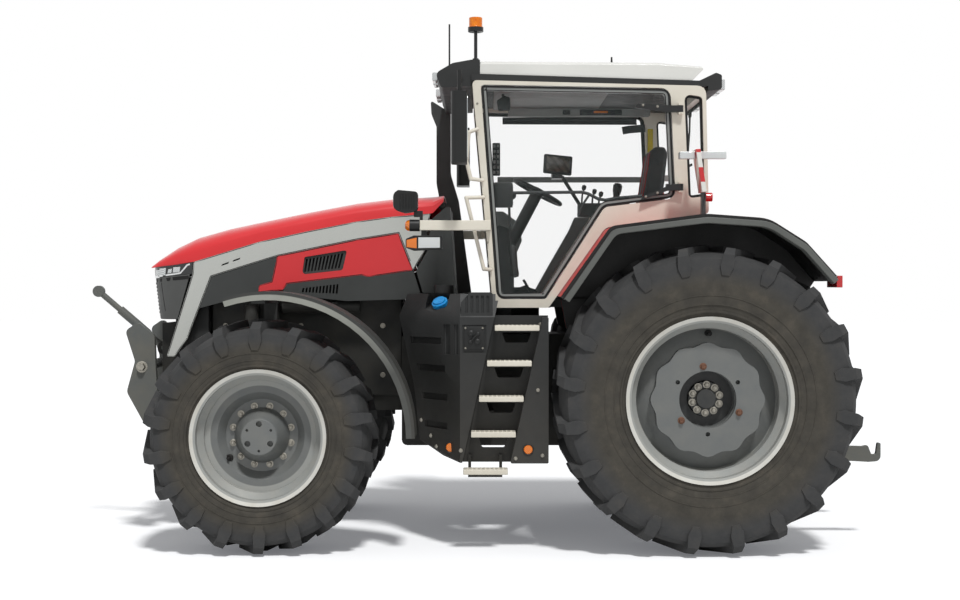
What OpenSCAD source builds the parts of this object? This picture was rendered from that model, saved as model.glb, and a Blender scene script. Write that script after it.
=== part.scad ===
// Large four-wheel-drive farm tractor, in millimetres.
// Front is towards -X, left is towards -Y, the ground is Z = 0.

/* [Layout] */
// Distance between the axles
wheelbase = 3000; // [2900:10:3200]
// Front axle to the tip of the front top link
front_overhang = 1412; // [1380:2:1480]
// Rear axle to the tip of the rear lower hooks
rear_overhang = 1346; // [1320:2:1420]
// Distance between the tyre centres on each axle
track = 1960; // [1940:10:2040]

/* [Tyres and wheels] */
// Outer diameter of a rear tyre, over the lugs
rear_tyre_d = 2080; // [2000:10:2120]
// Width of a rear tyre
rear_tyre_w = 650; // [580:10:660]
// Bead seat diameter of a rear rim
rear_rim_d = 1067; // [1016:1:1120]
// Outer diameter of a front tyre, over the lugs
front_tyre_d = 1580; // [1500:10:1600]
// Width of a front tyre
front_tyre_w = 560; // [500:10:570]
// Bead seat diameter of a front rim
front_rim_d = 864; // [812:1:914]
// Number of lugs on each side of a rear tyre
rear_lugs = 20; // [18:1:22]
// Number of lugs on each side of a front tyre
front_lugs = 18; // [16:1:20]
// Height of a lug
lug_h = 56; // [40:1:60]
// Height of the rim flange above the bead seat
flange_h = 25; // [18:1:30]

/* [Steering] */
// Distance between the kingpins
kingpin_span = 1440; // [1400:10:1480]
// Radius of a kingpin
kingpin_r = 25; // [18:1:32]
// Width of a front fender
front_fender_w = 335; // [250:5:340]

/* [Bonnet] */
// Width of the bonnet at its sides, at the nose
bonnet_nose_w = 800; // [760:5:840]
// Width of the bonnet at its sides, at the cab
bonnet_rear_w = 900; // [860:5:940]
// Thickness of a bonnet panel
panel_t = 30; // [20:1:40]

/* [Cab] */
// Width over the cab's side frames
cab_w = 1680; // [1640:10:1720]
// Height of the top of the cab's side frames
cab_top_z = 3222; // [3180:2:3260]
// Thickness of the side frames and the door
frame_t = 60; // [45:1:80]
// Thickness of the glass
glass_t = 8; // [5:1:12]
// Height of the roof cap above the side frames
roof_h = 148; // [130:2:180]

/* [Tanks and steps] */
// Distance between the outer faces of the tanks
tanks_w = 2140; // [2080:10:2200]
// Number of fixed steps
step_count = 4; // [3:1:5]
// Rise from one step to the next
step_rise = 238; // [200:2:250]

/* [Linkage] */
// Distance between the lower hooks
hook_span = 900; // [820:10:960]

/* [Hidden] */
$fn = 48;
// Gap between pieces that seat on each other
seat = 0.5;
// Running clearance round pins and shafts
run = 0.08;

rear_axle_x = (front_overhang + wheelbase + rear_overhang) / 2 - rear_overhang;
front_axle_x = rear_axle_x - wheelbase;
rear_axle_z = rear_tyre_d / 2;
front_axle_z = front_tyre_d / 2;
wheel_y = track / 2;

// Places of the axles, tyres and tips for which the shapes below are drawn
drawn_front_x = -1467;
drawn_front_r = 790;
drawn_rear_x = 1533;
drawn_rear_r = 1040;
drawn_tip_x = 2879;
far_x = 6000;
// Each drawn place along the tractor, and where it lies at the sizes above
along_table = [
  [-far_x, front_axle_x - front_overhang + drawn_tip_x - far_x],
  [-drawn_tip_x, front_axle_x - front_overhang],
  [drawn_front_x - drawn_front_r, front_axle_x - front_axle_z],
  [drawn_front_x, front_axle_x],
  [drawn_front_x + drawn_front_r, front_axle_x + front_axle_z],
  [drawn_rear_x - drawn_rear_r, rear_axle_x - rear_axle_z],
  [drawn_rear_x, rear_axle_x],
  [drawn_rear_x + drawn_rear_r, rear_axle_x + rear_axle_z],
  [drawn_tip_x, rear_axle_x + rear_overhang],
  [far_x, rear_axle_x + rear_overhang - drawn_tip_x + far_x]];
function along(x) = lookup(x, along_table);
// Larger tyres raise everything above the axles
lift = max(rear_tyre_d - 2 * drawn_rear_r, front_axle_z - drawn_front_r, 0);
// Heights of the axles in the raised drawing
front_z = front_axle_z - lift;
rear_z = rear_axle_z - lift;

// Colours
bonnet_red = [0.80, 0.05, 0.06];
blade_silver = [0.66, 0.67, 0.66];
panel_grey = [0.22, 0.22, 0.22];
moulded_black = [0.08, 0.08, 0.085];
cab_cream = [0.86, 0.84, 0.78];
roof_white = [0.92, 0.92, 0.90];
casting_grey = [0.33, 0.35, 0.36];
wheel_silver = [0.74, 0.75, 0.74];
rubber = [0.12, 0.12, 0.115];
lamp_clear = [0.85, 0.87, 0.88];
glass_tint = [0.55, 0.62, 0.62, 0.35];

// Outline helpers
function flat(p) = [p[0], p[1]];
function unit(v) = v / norm(v);
// Points of the round corner at b, between the edges to a and c
function corner(a, b, c, r, n) =
  r <= 0 ? [b] :
  let (u = unit(a - b), w = unit(c - b),
       half = acos(u * w) / 2,
       middle = b + unit(u + w) * (r / sin(half)),
       start = b + u * (r / tan(half)) - middle,
       stop = b + w * (r / tan(half)) - middle,
       from = atan2(start[1], start[0]),
       sweep = ((atan2(stop[1], stop[0]) - from + 540) % 360) - 180)
  [for (i = [0 : n]) middle + r * [cos(from + sweep * i / n), sin(from + sweep * i / n)]];
// Closed outline through corners [x, y, radius]
function rounded(path, n = 4) =
  let (k = len(path))
  [for (i = [0 : k - 1])
    each corner(flat(path[(i + k - 1) % k]), flat(path[i]), flat(path[(i + 1) % k]), path[i][2], n)];
function reversed(list) = [for (i = [len(list) - 1 : -1 : 0]) list[i]];
// Points of an arc round centre c
function arc(c, r, from, to, n) =
  [for (i = [0 : n]) c + r * [cos(from + (to - from) * i / n), sin(from + (to - from) * i / n)]];

// A drawn point at its real place
function placed(p) = [along(p[0]), p[1], p[2] + lift];
function placed_rings(rings) = [for (ring = rings) [for (p = ring) placed(p)]];
function placed_outline(points) = [for (p = points) [along(p[0]), p[1]]];

module at(p) {
  translate(placed(p)) children();
}
// Outline drawn in X and Z, extruded from y0 to y1
module plate_xz(points, y0, y1) {
  translate([0, y1, lift]) rotate([90, 0, 0]) linear_extrude(y1 - y0) polygon(placed_outline(points));
}
// Outline drawn in X and Y, extruded from z0 to z1
module plate_xy(points, z0, z1) {
  translate([0, 0, z0 + lift]) linear_extrude(z1 - z0) polygon(placed_outline(points));
}
// Box between two corners
module block(low, high) {
  at(low) cube(placed(high) - placed(low));
}
// Round bar along Y
module bar_y(x, z, r, y0, y1) {
  at([x, y1, z]) rotate([90, 0, 0]) cylinder(r = r, h = y1 - y0);
}
// Upright round bar
module post(p, r, h) {
  at(p) cylinder(r = r, h = h);
}
// Round bar between two points
module rod(a, b, r) {
  d = placed(b) - placed(a);
  at(a) rotate([0, acos(d[2] / norm(d)), atan2(d[1], d[0])]) cylinder(r = r, h = norm(d));
}
module both_sides() {
  children();
  mirror([0, 1, 0]) children();
}
// Skin through equal closed rings of points
module loft(rings) {
  n = len(rings[0]);
  m = len(rings);
  polyhedron(
    points = [for (ring = rings) each ring],
    faces = concat(
      [[for (i = [0 : n - 1]) i]],
      [[for (i = [n - 1 : -1 : 0]) (m - 1) * n + i]],
      [for (j = [0 : m - 2], i = [0 : n - 1])
        let (a = j * n + i, b = j * n + (i + 1) % n)
        each [[b, a, a + n], [b, a + n, b + n]]]),
    convexity = 10);
}
// Driveline

frame_half = 210;
frame_top_z = 1000;
beam_top_z = front_z + 100;
beam_half_x = 100;
gearbox_front_x = -560;
gearbox_half = 280;
gearbox_top_z = 1450;
engine_front_x = drawn_front_x - 480;
tank_inner_y = 470;
tank_top_z = 1746;
tank_bottom_z = 606;
tank_outer_y = tanks_w / 2;

module engine_block() {
  color(casting_grey)
    block([engine_front_x, -240, frame_top_z + seat], [gearbox_front_x - seat, 240, 1850]);
}

module radiator() {
  color(moulded_black) block([-2200, -300, 1240 + seat], [-1960, 300, 1860]);
}

linkage_x = drawn_front_x - 870;
linkage_z = 850;
linkage_pin_r = 30;
linkage_ear_y = 300;
ear_t = 36;
top_link_x = drawn_front_x - 880;
top_link_z = 1340;
top_link_pin_r = 16;

module front_frame() {
  color(casting_grey) difference() {
    union() {
      // Side rails that carry the engine
      block([drawn_front_x - 500, -frame_half, beam_top_z + seat],
            [gearbox_front_x - seat, frame_half, frame_top_z]);
      // Front support casting
      plate_xz(rounded([[drawn_front_x - 500, 700, 20], [drawn_front_x - 500, 1240, 20],
                        [drawn_front_x - 760, 1240, 30], [drawn_front_x - 800, 960, 20],
                        [drawn_front_x - 800, 700, 40]]), -frame_half - 20, frame_half + 20);
      // Ears for the front lift arms
      for (s = [-1, 1])
        plate_xz(rounded([[drawn_front_x - 790, linkage_z - 110, 20],
                          [drawn_front_x - 790, linkage_z + 110, 20],
                          [linkage_x - 55, linkage_z + 60, 50],
                          [linkage_x - 55, linkage_z - 60, 50]]),
                 s * linkage_ear_y / 2 - ear_t / 2, s * linkage_ear_y / 2 + ear_t / 2);
      // Tower in front of the radiator, with the ears of the top link
      block([drawn_front_x - 840, -260, 955], [drawn_front_x - 738, 260, 1530]);
      for (s = [-1, 1])
        plate_xz(rounded([[drawn_front_x - 830, top_link_z - 60, 10],
                          [drawn_front_x - 830, top_link_z + 60, 10],
                          [top_link_x - 40, top_link_z + 36, 30], [top_link_x - 40, top_link_z - 36, 30]]),
                 s * 45 - 10, s * 45 + 10);
    }
    bar_y(linkage_x, linkage_z, linkage_pin_r + run, -400, 400);
    bar_y(top_link_x, top_link_z, top_link_pin_r + run, -100, 100);
  }
}

kingpin_y = kingpin_span / 2;
boss_r = 75;
boss_half_z = 100;

module front_axle() {
  color(casting_grey) difference() {
    union() {
      // Beam, thicker at the middle
      plate_xz(rounded([[drawn_front_x - beam_half_x, front_z - 80, 20],
                        [drawn_front_x - beam_half_x, beam_top_z, 20],
                        [drawn_front_x + beam_half_x, beam_top_z, 20],
                        [drawn_front_x + beam_half_x, front_z - 80, 20]]),
               -kingpin_y + 40, kingpin_y - 40);
      at([drawn_front_x, 0, front_z]) sphere(r = 170);
      for (s = [-1, 1])
        post([drawn_front_x, s * kingpin_y, front_z - boss_half_z], boss_r, 2 * boss_half_z);
    }
    for (s = [-1, 1])
      post([drawn_front_x, s * kingpin_y, front_z - boss_half_z - 1], kingpin_r + run, 2 * boss_half_z + 2);
    // Room under the frame
    block([drawn_front_x - 300, -frame_half - 60, beam_top_z],
          [drawn_front_x + 300, frame_half + 60, beam_top_z + 200]);
  }
}

trumpet_r = 150;
trumpet_end_y = wheel_y - 280;
shaft_r = 70;
shaft_end_y = wheel_y + 30;
link_pin_x = drawn_rear_x + 190;
link_pin_z = 620;
link_pin_r = 25;
link_y = hook_span / 2 - 10;
link_t = 40;
lift_t = 36;
rod_t = 28;
lift_y = link_y - link_t / 2 - rod_t - lift_t / 2 - 2 * run;
lift_reach = 440;
rock_x = link_pin_x;
rock_z = 1290;
rock_r = 45;

module transmission() {
  color(casting_grey) {
    plate_xz(rounded([[gearbox_front_x, 640, 40], [gearbox_front_x, gearbox_top_z, 30],
                      [drawn_rear_x + 330, gearbox_top_z, 80], [drawn_rear_x + 330, 1180, 20],
                      [drawn_rear_x + 250, 1100, 20], [drawn_rear_x + 250, 560, 60],
                      [drawn_rear_x - 400, 560, 60], [drawn_rear_x - 600, 640, 40]]),
             -gearbox_half, gearbox_half);
    bar_y(drawn_rear_x, rear_z, trumpet_r, -trumpet_end_y, trumpet_end_y);
    for (s = [-1, 1])
      bar_y(drawn_rear_x, rear_z, trumpet_r + 50, s * (trumpet_end_y - 20) - 20,
            s * (trumpet_end_y - 20) + 20);
    bar_y(drawn_rear_x, rear_z, shaft_r, -shaft_end_y, shaft_end_y);
    // Cross members that carry the tanks
    for (x = [-330, 20, 330])
      block([x, -tank_inner_y + seat, 760], [x + 90, tank_inner_y - seat, 900]);
    // Pins for the lower links
    bar_y(link_pin_x, link_pin_z, link_pin_r, -link_y - 40, link_y + 40);
    bar_y(link_pin_x, link_pin_z, link_pin_r + 35, -link_y + link_t / 2 + 6, link_y - link_t / 2 - 6);
    // Rockshaft for the lift arms
    bar_y(rock_x, rock_z, rock_r, -lift_y - lift_t / 2 - 8, lift_y + lift_t / 2 + 8);
    bar_y(rock_x, rock_z, rock_r + 30, -lift_y + lift_t / 2 + 6, lift_y - lift_t / 2 - 6);
  }
}

// Wheels

rim_lip = 14;
rim_wall = 14;
rear_rim_w = rear_tyre_w - 90;
front_rim_w = front_tyre_w - 80;
front_hub_inner_y = kingpin_span / 2 + 185;
front_hub_r = 165;
spindle_r = 80;
spindle_end_y = kingpin_span / 2 + 240;
rear_hub_inner_y = trumpet_end_y + 5;

// Half of a tyre's section from the bead over the sidewall and shoulder to the crown
function tyre_half(r, side, b, bead) =
  [[b, bead], [b + flange_h, bead],
   each [for (t = [0.25, 0.45, 0.62]) [b + (r - b) * t, side - 60 * pow(t - 0.5, 2)]],
   [r - 110, side], [r - 50, side - 14], [r - 18, side - 60], [r, side - 180]];
function tyre_section(r, tyre_w, rim_d, rim_w) =
  let (half = tyre_half(r, tyre_w / 2 - lug_stand, rim_d / 2, rim_w / 2 - seat))
  concat(half, [for (p = reversed(half)) [p[0], -p[1]]]);

// The lug's ends stand out from the sidewall by this
lug_stand = 14;
// The carcass under the lugs
lug_root = 8;
lug_flare = 8;
// Stations of a lug from the middle of the tread round the shoulder and down the sidewall:
// place of its outer face across the half width and its drop, place and depth of its root, angle, width
lug_stations = [[-0.07, 0, -0.07, 1, 0, 62], [0.86, 18, 0.82, 1.35, 10.2, 64], [1, 64, 0.86, 1.05, 11, 78],
                [1, 140, 0.88, 0.4, 11.2, 104], [0.978, 204, 0.9, 0.2, 11.4, 62]];
// One lug
module lug(tyre_d, tyre_w, depth) {
  r = tyre_d / 2;
  half = tyre_w / 2;
  loft([for (s = lug_stations)
    let (top = r - s[1], base = top - depth * s[3], w = s[5] / 2)
    [for (p = [[base, -w - lug_flare, s[2]], [top, -w, s[0]], [top, w, s[0]], [base, w + lug_flare, s[2]]])
      let (a = s[4] + p[1] / r * 180 / PI)
      [p[0] * cos(a), p[0] * sin(a), p[2] * half]]]);
}
// Carcass with its lugs, those of the two sides half a pitch apart
module tyre(tyre_d, tyre_w, rim_d, rim_w, lugs) {
  color(rubber) rotate([90, 0, 0]) {
    rotate_extrude($fn = 96) polygon(tyre_section(tyre_d / 2 - lug_h + lug_root, tyre_w, rim_d, rim_w));
    for (i = [0 : lugs - 1]) {
      rotate([0, 0, 360 * i / lugs]) lug(tyre_d, tyre_w, lug_h);
      rotate([0, 0, 360 * (i + 0.5) / lugs]) mirror([0, 0, 1]) lug(tyre_d, tyre_w, lug_h);
    }
  }
}

// Rim barrel with its two flanges and the drop centre, drawn as radius and place along the axle
function barrel_section(rim_d, rim_w) =
  let (b = rim_d / 2 - seat, h = rim_w / 2)
  [[b - rim_wall, -h], [b + flange_h, -h - rim_lip], [b + flange_h, -h], [b, -h + seat],
   [b, -h + 70], [b - 40, -h + 110], [b - 40, h - 110], [b, h - 70],
   [b, h - seat], [b + flange_h, h], [b + flange_h, h + rim_lip], [b - rim_wall, h],
   [b - rim_wall, h - 62], [b - 40 - rim_wall, h - 104],
   [b - 40 - rim_wall, -h + 104], [b - rim_wall, -h + 62]];

module barrel(rim_d, rim_w) {
  rotate([90, 0, 0]) rotate_extrude($fn = 96) polygon(barrel_section(rim_d, rim_w));
}

// The wheels are drawn at the left, where +Z of the section points to -Y, away from the tractor
front_disc_y = kingpin_span / 2 + 290 - wheel_y;
front_disc_edge_y = 90;
hub_cap_h = 162;
module front_rim() {
  hub_y = front_hub_inner_y - wheel_y + seat;
  disc = front_disc_y;
  edge_r = front_rim_d / 2 - 50;
  color(wheel_silver) translate([front_axle_x, -wheel_y, front_axle_z]) {
    barrel(front_rim_d, front_rim_w);
    rotate([90, 0, 0]) difference() {
      rotate_extrude($fn = 96) polygon([
        [0, hub_y], [front_hub_r, hub_y], [front_hub_r, disc - 8], [250, disc - 8],
        [300, front_disc_edge_y - 10], [edge_r, front_disc_edge_y], [edge_r, front_disc_edge_y + 14],
        [295, front_disc_edge_y + 4], [245, disc + 8], [190, disc + 8], [178, disc + 20],
        [130, disc + hub_cap_h - 12], [118, disc + hub_cap_h], [0, disc + hub_cap_h]]);
      translate([0, 0, -200]) cylinder(r = spindle_r + run, h = 200 + spindle_end_y - wheel_y + seat);
      // Drain holes in the hub's cap and the hole for the valve
      for (a = [90, 210, 330]) {
        rotate([0, 0, a]) translate([88, 0, disc + hub_cap_h - 30]) cylinder(r = 20, h = 40);
        rotate([0, 0, a + 60]) translate([92, 0, disc + hub_cap_h - 20]) cylinder(r = 9, h = 30);
      }
      rotate([0, 0, 215]) translate([268, 0, disc - 20]) cylinder(r = 17, h = 140);
    }
  }
}

weight_lobes = 12;
weight_r = 372;
weight_wave = 12;
weight_t = 60;
hub_recess_r = 188;
rear_disc_y = 120;
module rear_rim() {
  hub_y = rear_hub_inner_y - wheel_y + seat;
  disc = rear_disc_y;
  edge_r = rear_rim_d / 2 - 50;
  color(wheel_silver) translate([rear_axle_x, -wheel_y, rear_axle_z]) {
    barrel(rear_rim_d, rear_rim_w);
    rotate([90, 0, 0]) difference() {
      union() {
        rotate_extrude($fn = 96) polygon([
          [0, hub_y], [130, hub_y], [130, 20], [230, 30], [300, disc - 10], [edge_r, disc - 60],
          [edge_r, disc - 46], [400, disc - 8], [320, disc + 8], [hub_recess_r, disc + 8],
          [hub_recess_r, 54], [122, 54], [116, 88], [70, 92], [64, 112], [0, 112]]);
        // Scalloped wheel weight round the hub
        translate([0, 0, disc]) linear_extrude(weight_t) difference() {
          polygon([for (i = [0 : weight_lobes * 6 - 1])
            let (a = i * 60 / weight_lobes, r = weight_r + weight_wave * cos(a * weight_lobes))
            [r * cos(a), r * sin(a)]]);
          circle(r = hub_recess_r + 3);
        }
      }
      translate([0, 0, -400]) cylinder(r = shaft_r + run, h = 400 + shaft_end_y - wheel_y + seat);
      // Lifting holes in the weight
      for (a = [30, 150, 270])
        rotate([0, 0, a]) translate([232, 0, disc + 20]) cylinder(r = 15, h = weight_t);
    }
  }
}

module front_tyre() {
  translate([front_axle_x, -wheel_y, front_axle_z])
    tyre(front_tyre_d, front_tyre_w, front_rim_d, front_rim_w, front_lugs);
}
module rear_tyre() {
  translate([rear_axle_x, -wheel_y, rear_axle_z])
    tyre(rear_tyre_d, rear_tyre_w, rear_rim_d, rear_rim_w, rear_lugs);
}

// Steering knuckles and front fenders

knuckle_arm_t = 60;
knuckle_low_z = front_z - boss_half_z - seat - knuckle_arm_t;
knuckle_top_z = front_z + boss_half_z + seat + knuckle_arm_t;

module knuckle() {
  x = drawn_front_x;
  y = -kingpin_y;
  color(casting_grey) {
    // Upper and lower arms over and under the axle's boss
    for (z = [knuckle_low_z, knuckle_top_z - knuckle_arm_t])
      hull() for (dy = [0, -110]) post([x, y + dy, z], boss_r, knuckle_arm_t);
    // Web that carries the spindle
    block([x - 85, y - 150, knuckle_low_z], [x + 85, y - boss_r - 10, knuckle_top_z]);
    bar_y(x, front_z, 120, -front_hub_inner_y, y - 140);
    bar_y(x, front_z, spindle_r, -spindle_end_y, y - 140);
    // Kingpins, the upper one standing up through the fender's bracket
    post([x, y, front_z + 20], kingpin_r, knuckle_top_z - front_z + 35);
    post([x, y, knuckle_low_z], kingpin_r, knuckle_arm_t + 80);
  }
}

front_fender_r = front_tyre_d / 2 + 185;
front_fender_shift = 70;
front_fender_t = 22;
front_fender_from = 108;
fender_lip_h = 58;
fender_lip_t = 14;
fender_outer_y = wheel_y + front_tyre_w / 2 + 5;
post_y = min(wheel_y - front_tyre_w / 2 - 130, kingpin_y - 150);
post_t = 55;
bracket_t = 45;

module front_fender() {
  x = drawn_front_x;
  c = [x + front_fender_shift, front_z];
  crown = arc(c, front_fender_r, front_fender_from, 0, 20);
  r0 = front_fender_r - front_fender_t;
  low = knuckle_top_z + seat;
  color(moulded_black) {
    plate_xz(concat(crown, arc(c, r0, 0, front_fender_from, 20)),
             -fender_outer_y, front_fender_w - fender_outer_y);
    // Lip along the outer edge
    plate_xz(concat(crown, arc(c, front_fender_r - fender_lip_h, 0, front_fender_from, 20)),
             -fender_outer_y, fender_lip_t - fender_outer_y);
    difference() {
      union() {
        // Bracket: ring on the kingpin, post beside the tyre and arm over it
        post([x, -kingpin_y, low], 60, bracket_t);
        block([x - bracket_t, -kingpin_y, low], [x + bracket_t, -post_y, low + bracket_t]);
        block([x - bracket_t, -post_y - post_t, low], [x + bracket_t, -post_y, front_z + r0 - 20]);
        block([x - bracket_t, -fender_outer_y + 60, front_z + r0 - 60],
              [x + bracket_t, -post_y, front_z + r0 + 4]);
      }
      post([x, -kingpin_y, low - 10], kingpin_r + run, 100);
    }
  }
}

// Rear fenders

// Crown line of the rear fender, in X and Z
fender_line = [[549, 1729, 0], [882, 2201, 160], [1514, 2284, 900], [1938, 2253, 500],
               [2189, 2094, 300], [2399, 1860, 0]];
fender_t = 40;
fender_inner_y = wheel_y - rear_tyre_w / 2 - 80;
flare_outer_y = wheel_y + rear_tyre_w / 2 - 25;
flare_y = flare_outer_y - 100;
fender_centre = [drawn_rear_x, drawn_rear_r];

function towards_axle(p, t) = flat(p) + unit(fender_centre - flat(p)) * t;
// The fender's line, moved towards the axle by t
function fender_curve(t) =
  let (k = len(fender_line))
  [for (i = [0 : k - 1])
    let (q = towards_axle(fender_line[i], t))
    each (i == 0 || i == k - 1) ? [q] :
      corner(towards_axle(fender_line[i - 1], t), q, towards_axle(fender_line[i + 1], t),
             fender_line[i][2] * 0.5, 4)];
function fender_strip(outer, inner) = concat(fender_curve(outer), reversed(fender_curve(inner)));

module rear_fenders() {
  color(bonnet_red) both_sides() {
    plate_xz(fender_strip(0, fender_t), -flare_y, -fender_inner_y);
    // Inner wall beside the cab
    plate_xz(concat(fender_curve(fender_t - 1), [[2150, 1500], [1800, 1300], [900, 1300], [620, 1500]]),
             -fender_inner_y - 25, -fender_inner_y);
  }
}
fender_tip_x = fender_line[len(fender_line) - 1][0];

// The flare hangs below the fender's edge, and is narrower in front, where the door swings over it
flare_drop = 26;
flare_narrow_y = flare_outer_y - 45;
flare_wide_x = 1000;
module fender_flares() {
  color(panel_grey) both_sides() intersection() {
    plate_xz(fender_strip(flare_drop, flare_drop + fender_t), -flare_outer_y, -flare_y - seat);
    plate_xy([[300, -flare_y], [300, -flare_narrow_y], [flare_wide_x - 150, -flare_narrow_y],
              [flare_wide_x, -flare_outer_y - 1], [2600, -flare_outer_y - 1], [2600, -flare_y]], 1000,
              2600);
  }
}

// Warning boards on the fenders
board_x = 1500;
board_t = 30;
board_y = flare_y - 110;
board_half = 90;
board_low_z = 2430;
board_top_z = 2717;
function board_front(z) = board_x - 4 - (z - board_low_z) * 0.147;
module tail_lamps() {
  color("red") both_sides() {
    block([fender_tip_x + seat, -flare_y + 40, 1790], [fender_tip_x + 41, -flare_y + 320, 1870]);
    // Round lamp behind the warning board's foot
    at([board_x + board_t + seat, -board_y, 2400]) rotate([0, 90, 0]) cylinder(r = 30, h = 46);
  }
}

// Cab

cab_half = cab_w / 2;
cab_front_x = -45;
cab_rear_x = 1590;
sill_z = 1650;
belt_z = 2360;
floor_t = 60;

// Outer outline of a side frame
frame_fall = 0.0248;
// Height of the top of the side frames
function frame_top(x) = cab_top_z - (x - cab_front_x) * frame_fall;
side_outline = [[cab_front_x, cab_top_z, 30], [cab_rear_x - 20, frame_top(cab_rear_x - 20), 60],
                [cab_rear_x, belt_z - 60, 30], [1514, 2289, 20], [878, 2205, 80],
                [484, sill_z, 30], [100, sill_z, 20]];
// Door opening in it
door_outline = [[14, cab_top_z - 31, 25], [1325, cab_top_z - 56, 70], [1360, 2405, 60],
                [870, 2345, 60], [465, 1710, 30], [125, 1710, 60]];
// Rear quarter window in it
quarter_outline = [[1420, cab_top_z - 95, 40], [1545, cab_top_z - 115, 30], [1562, 2420, 30],
                   [1450, 2405, 30]];

// A clockwise outline with every edge moved inwards by t
function inset(path, t) =
  let (k = len(path))
  [for (i = [0 : k - 1])
    let (b = flat(path[i]), u = unit(flat(path[(i + k - 1) % k]) - b),
         w = unit(flat(path[(i + 1) % k]) - b),
         side = sign(u[0] * w[1] - u[1] * w[0]),
         q = b + side * unit(u + w) * (t / sin(acos(u * w) / 2)))
    [q[0], q[1], max(path[i][2] - side * t, 2)]];

door_gap = 6;
door_rim = 34;
door_hinge_x = 1392;
door_hinge_y = -cab_half - 26;
door_hinge_z = [2480, 3020];
hinge_pin_r = 7;
// From here back the hinge arm stands off the pillar
door_arm_free_x = 1316;

module side_frame() {
  difference() {
    plate_xz(rounded(side_outline), -cab_half, -cab_half + frame_t);
    plate_xz(rounded(door_outline), -cab_half - 1, -cab_half + frame_t + 1);
    plate_xz(rounded(quarter_outline), -cab_half - 1, -cab_half + frame_t + 1);
  }
}

rail_h = 70;
window_hinge_x = cab_rear_x - 11;
window_hinge_z = cab_top_z - rail_h - 4;
window_hinge_y = 430;
window_knuckle_r = 10;
window_pin_r = 5;
module cab_frame() {
  inner = cab_half - frame_t;
  color(cab_cream) {
    both_sides() side_frame();
    // Cross rails over the windscreen and the rear window, and under the windscreen
    block([cab_front_x + 5, -inner - 1, cab_top_z - rail_h], [cab_front_x + 60, inner + 1, cab_top_z - 5]);
    block([cab_rear_x - 75, -inner - 1, cab_top_z - rail_h - 45],
          [cab_rear_x - 25, inner + 1, cab_top_z - 45]);
    block([68, -inner - 1, 1950], [98, inner + 1, 2020]);
    block([cab_rear_x - 75, -inner - 1, belt_z - 55], [cab_rear_x - 25, inner + 1, belt_z]);
    // Pins of the rear window between their brackets
    both_sides() {
      bar_y(window_hinge_x, window_hinge_z, window_pin_r, -window_hinge_y - 44, -window_hinge_y + 44);
      for (y = [-44, 34])
        block([cab_rear_x - 30, -window_hinge_y + y, window_hinge_z - 9],
              [window_hinge_x + 9, -window_hinge_y + y + 10, window_hinge_z + 9]);
    }
    // Door hinge pins on brackets
    for (z = door_hinge_z) {
      post([door_hinge_x, door_hinge_y, z - 36], hinge_pin_r, 72);
      for (dz = [-36, 24])
        block([door_hinge_x - 16, door_hinge_y - 16, z + dz],
              [door_hinge_x + 16, -cab_half + 1, z + dz + 12]);
    }
  }
}

module cab_floor() {
  inner = cab_half - frame_t - seat;
  color(panel_grey) {
    // Floor between the side frames, and the platform between the fenders
    block([105, -inner, sill_z], [500, inner, sill_z + floor_t]);
    block([500, -fender_inner_y + seat, sill_z],
          [cab_rear_x - 90, fender_inner_y - seat, sill_z + floor_t]);
    // Rear bulkhead below the rear window
    block([cab_rear_x - 90, -fender_inner_y + seat, sill_z],
          [cab_rear_x - 40, fender_inner_y - seat, belt_z - 60]);
    // Front bulkhead
    block([105, -inner, sill_z], [125, inner, 1949]);
    // Rubber mounts on the gearbox
    for (x = [180, 1350], s = [-1, 1])
      post([x, s * 200, gearbox_top_z + seat], 60, sill_z - gearbox_top_z);
  }
}

module cab_glass() {
  inner = cab_half - frame_t;
  color(glass_tint) {
    // Windscreen, leaning with the front pillars
    hull() {
      block([70, -inner + seat, 2021], [70 + glass_t, inner - seat, 2022]);
      block([cab_front_x + 12, -inner + seat, cab_top_z - rail_h - 2],
            [cab_front_x + 12 + glass_t, inner - seat, cab_top_z - rail_h - 1]);
    }
    // Right side window and the rear quarter windows
    plate_xz(rounded(inset(door_outline, seat)), cab_half - 30, cab_half - 30 + glass_t);
    both_sides() plate_xz(rounded(inset(quarter_outline, seat)), -cab_half + 20, -cab_half + 20 + glass_t);
  }
}

visor_front_x = -300;
visor_rear_x = 10;
pod_rear_x = 1690;
roof_band_front = 45;
roof_band_fall = 0.0306;
// Height of the top of the band under the roof
function roof_line(x) = cab_top_z + roof_band_front - (x - visor_rear_x) * roof_band_fall;
roof_side_y = cab_half - 30;
antenna_x = -204;
antenna_y = -700;
antenna_h = 325;
module roof_base() {
  rear = cab_rear_x - 60;
  color(moulded_black) {
    // Band under the roof
    plate_xz([[visor_rear_x - 60, frame_top(visor_rear_x - 60) + seat],
              [visor_rear_x - 60, roof_line(visor_rear_x - 60)],
              [rear, roof_line(rear)], [rear, frame_top(rear) + seat]], -cab_half + 20, cab_half - 20);
    // Visor over the windscreen, hanging lower in front of it
    plate_xz(rounded([[visor_rear_x, cab_top_z + seat, 0], [visor_rear_x, cab_top_z + roof_h, 8],
                      [-45, cab_top_z + roof_h, 60], [-180, cab_top_z + 124, 60],
                      [visor_front_x, cab_top_z + 54, 40],
                      [-260, cab_top_z - 46, 20], [cab_front_x - 3, cab_top_z - 36, 5],
                      [cab_front_x - 3, cab_top_z + seat, 0]]), -cab_half + 40, cab_half - 40);
    // Rear lamp pod
    plate_xz(rounded([[rear - 10, frame_top(rear) + 6, 0], [rear - 10, roof_line(rear) - 1, 0],
                      [pod_rear_x - 40, cab_top_z + 60, 20], [pod_rear_x, cab_top_z + 44, 15],
                      [pod_rear_x, cab_top_z - 56, 20], [cab_rear_x + 4, cab_top_z - 66, 8],
                      [cab_rear_x + 4, frame_top(rear) + 6, 0]]), -cab_half + 60, cab_half - 60);
    post([antenna_x, antenna_y, cab_top_z + 84], 6, antenna_h);
  }
}

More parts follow.
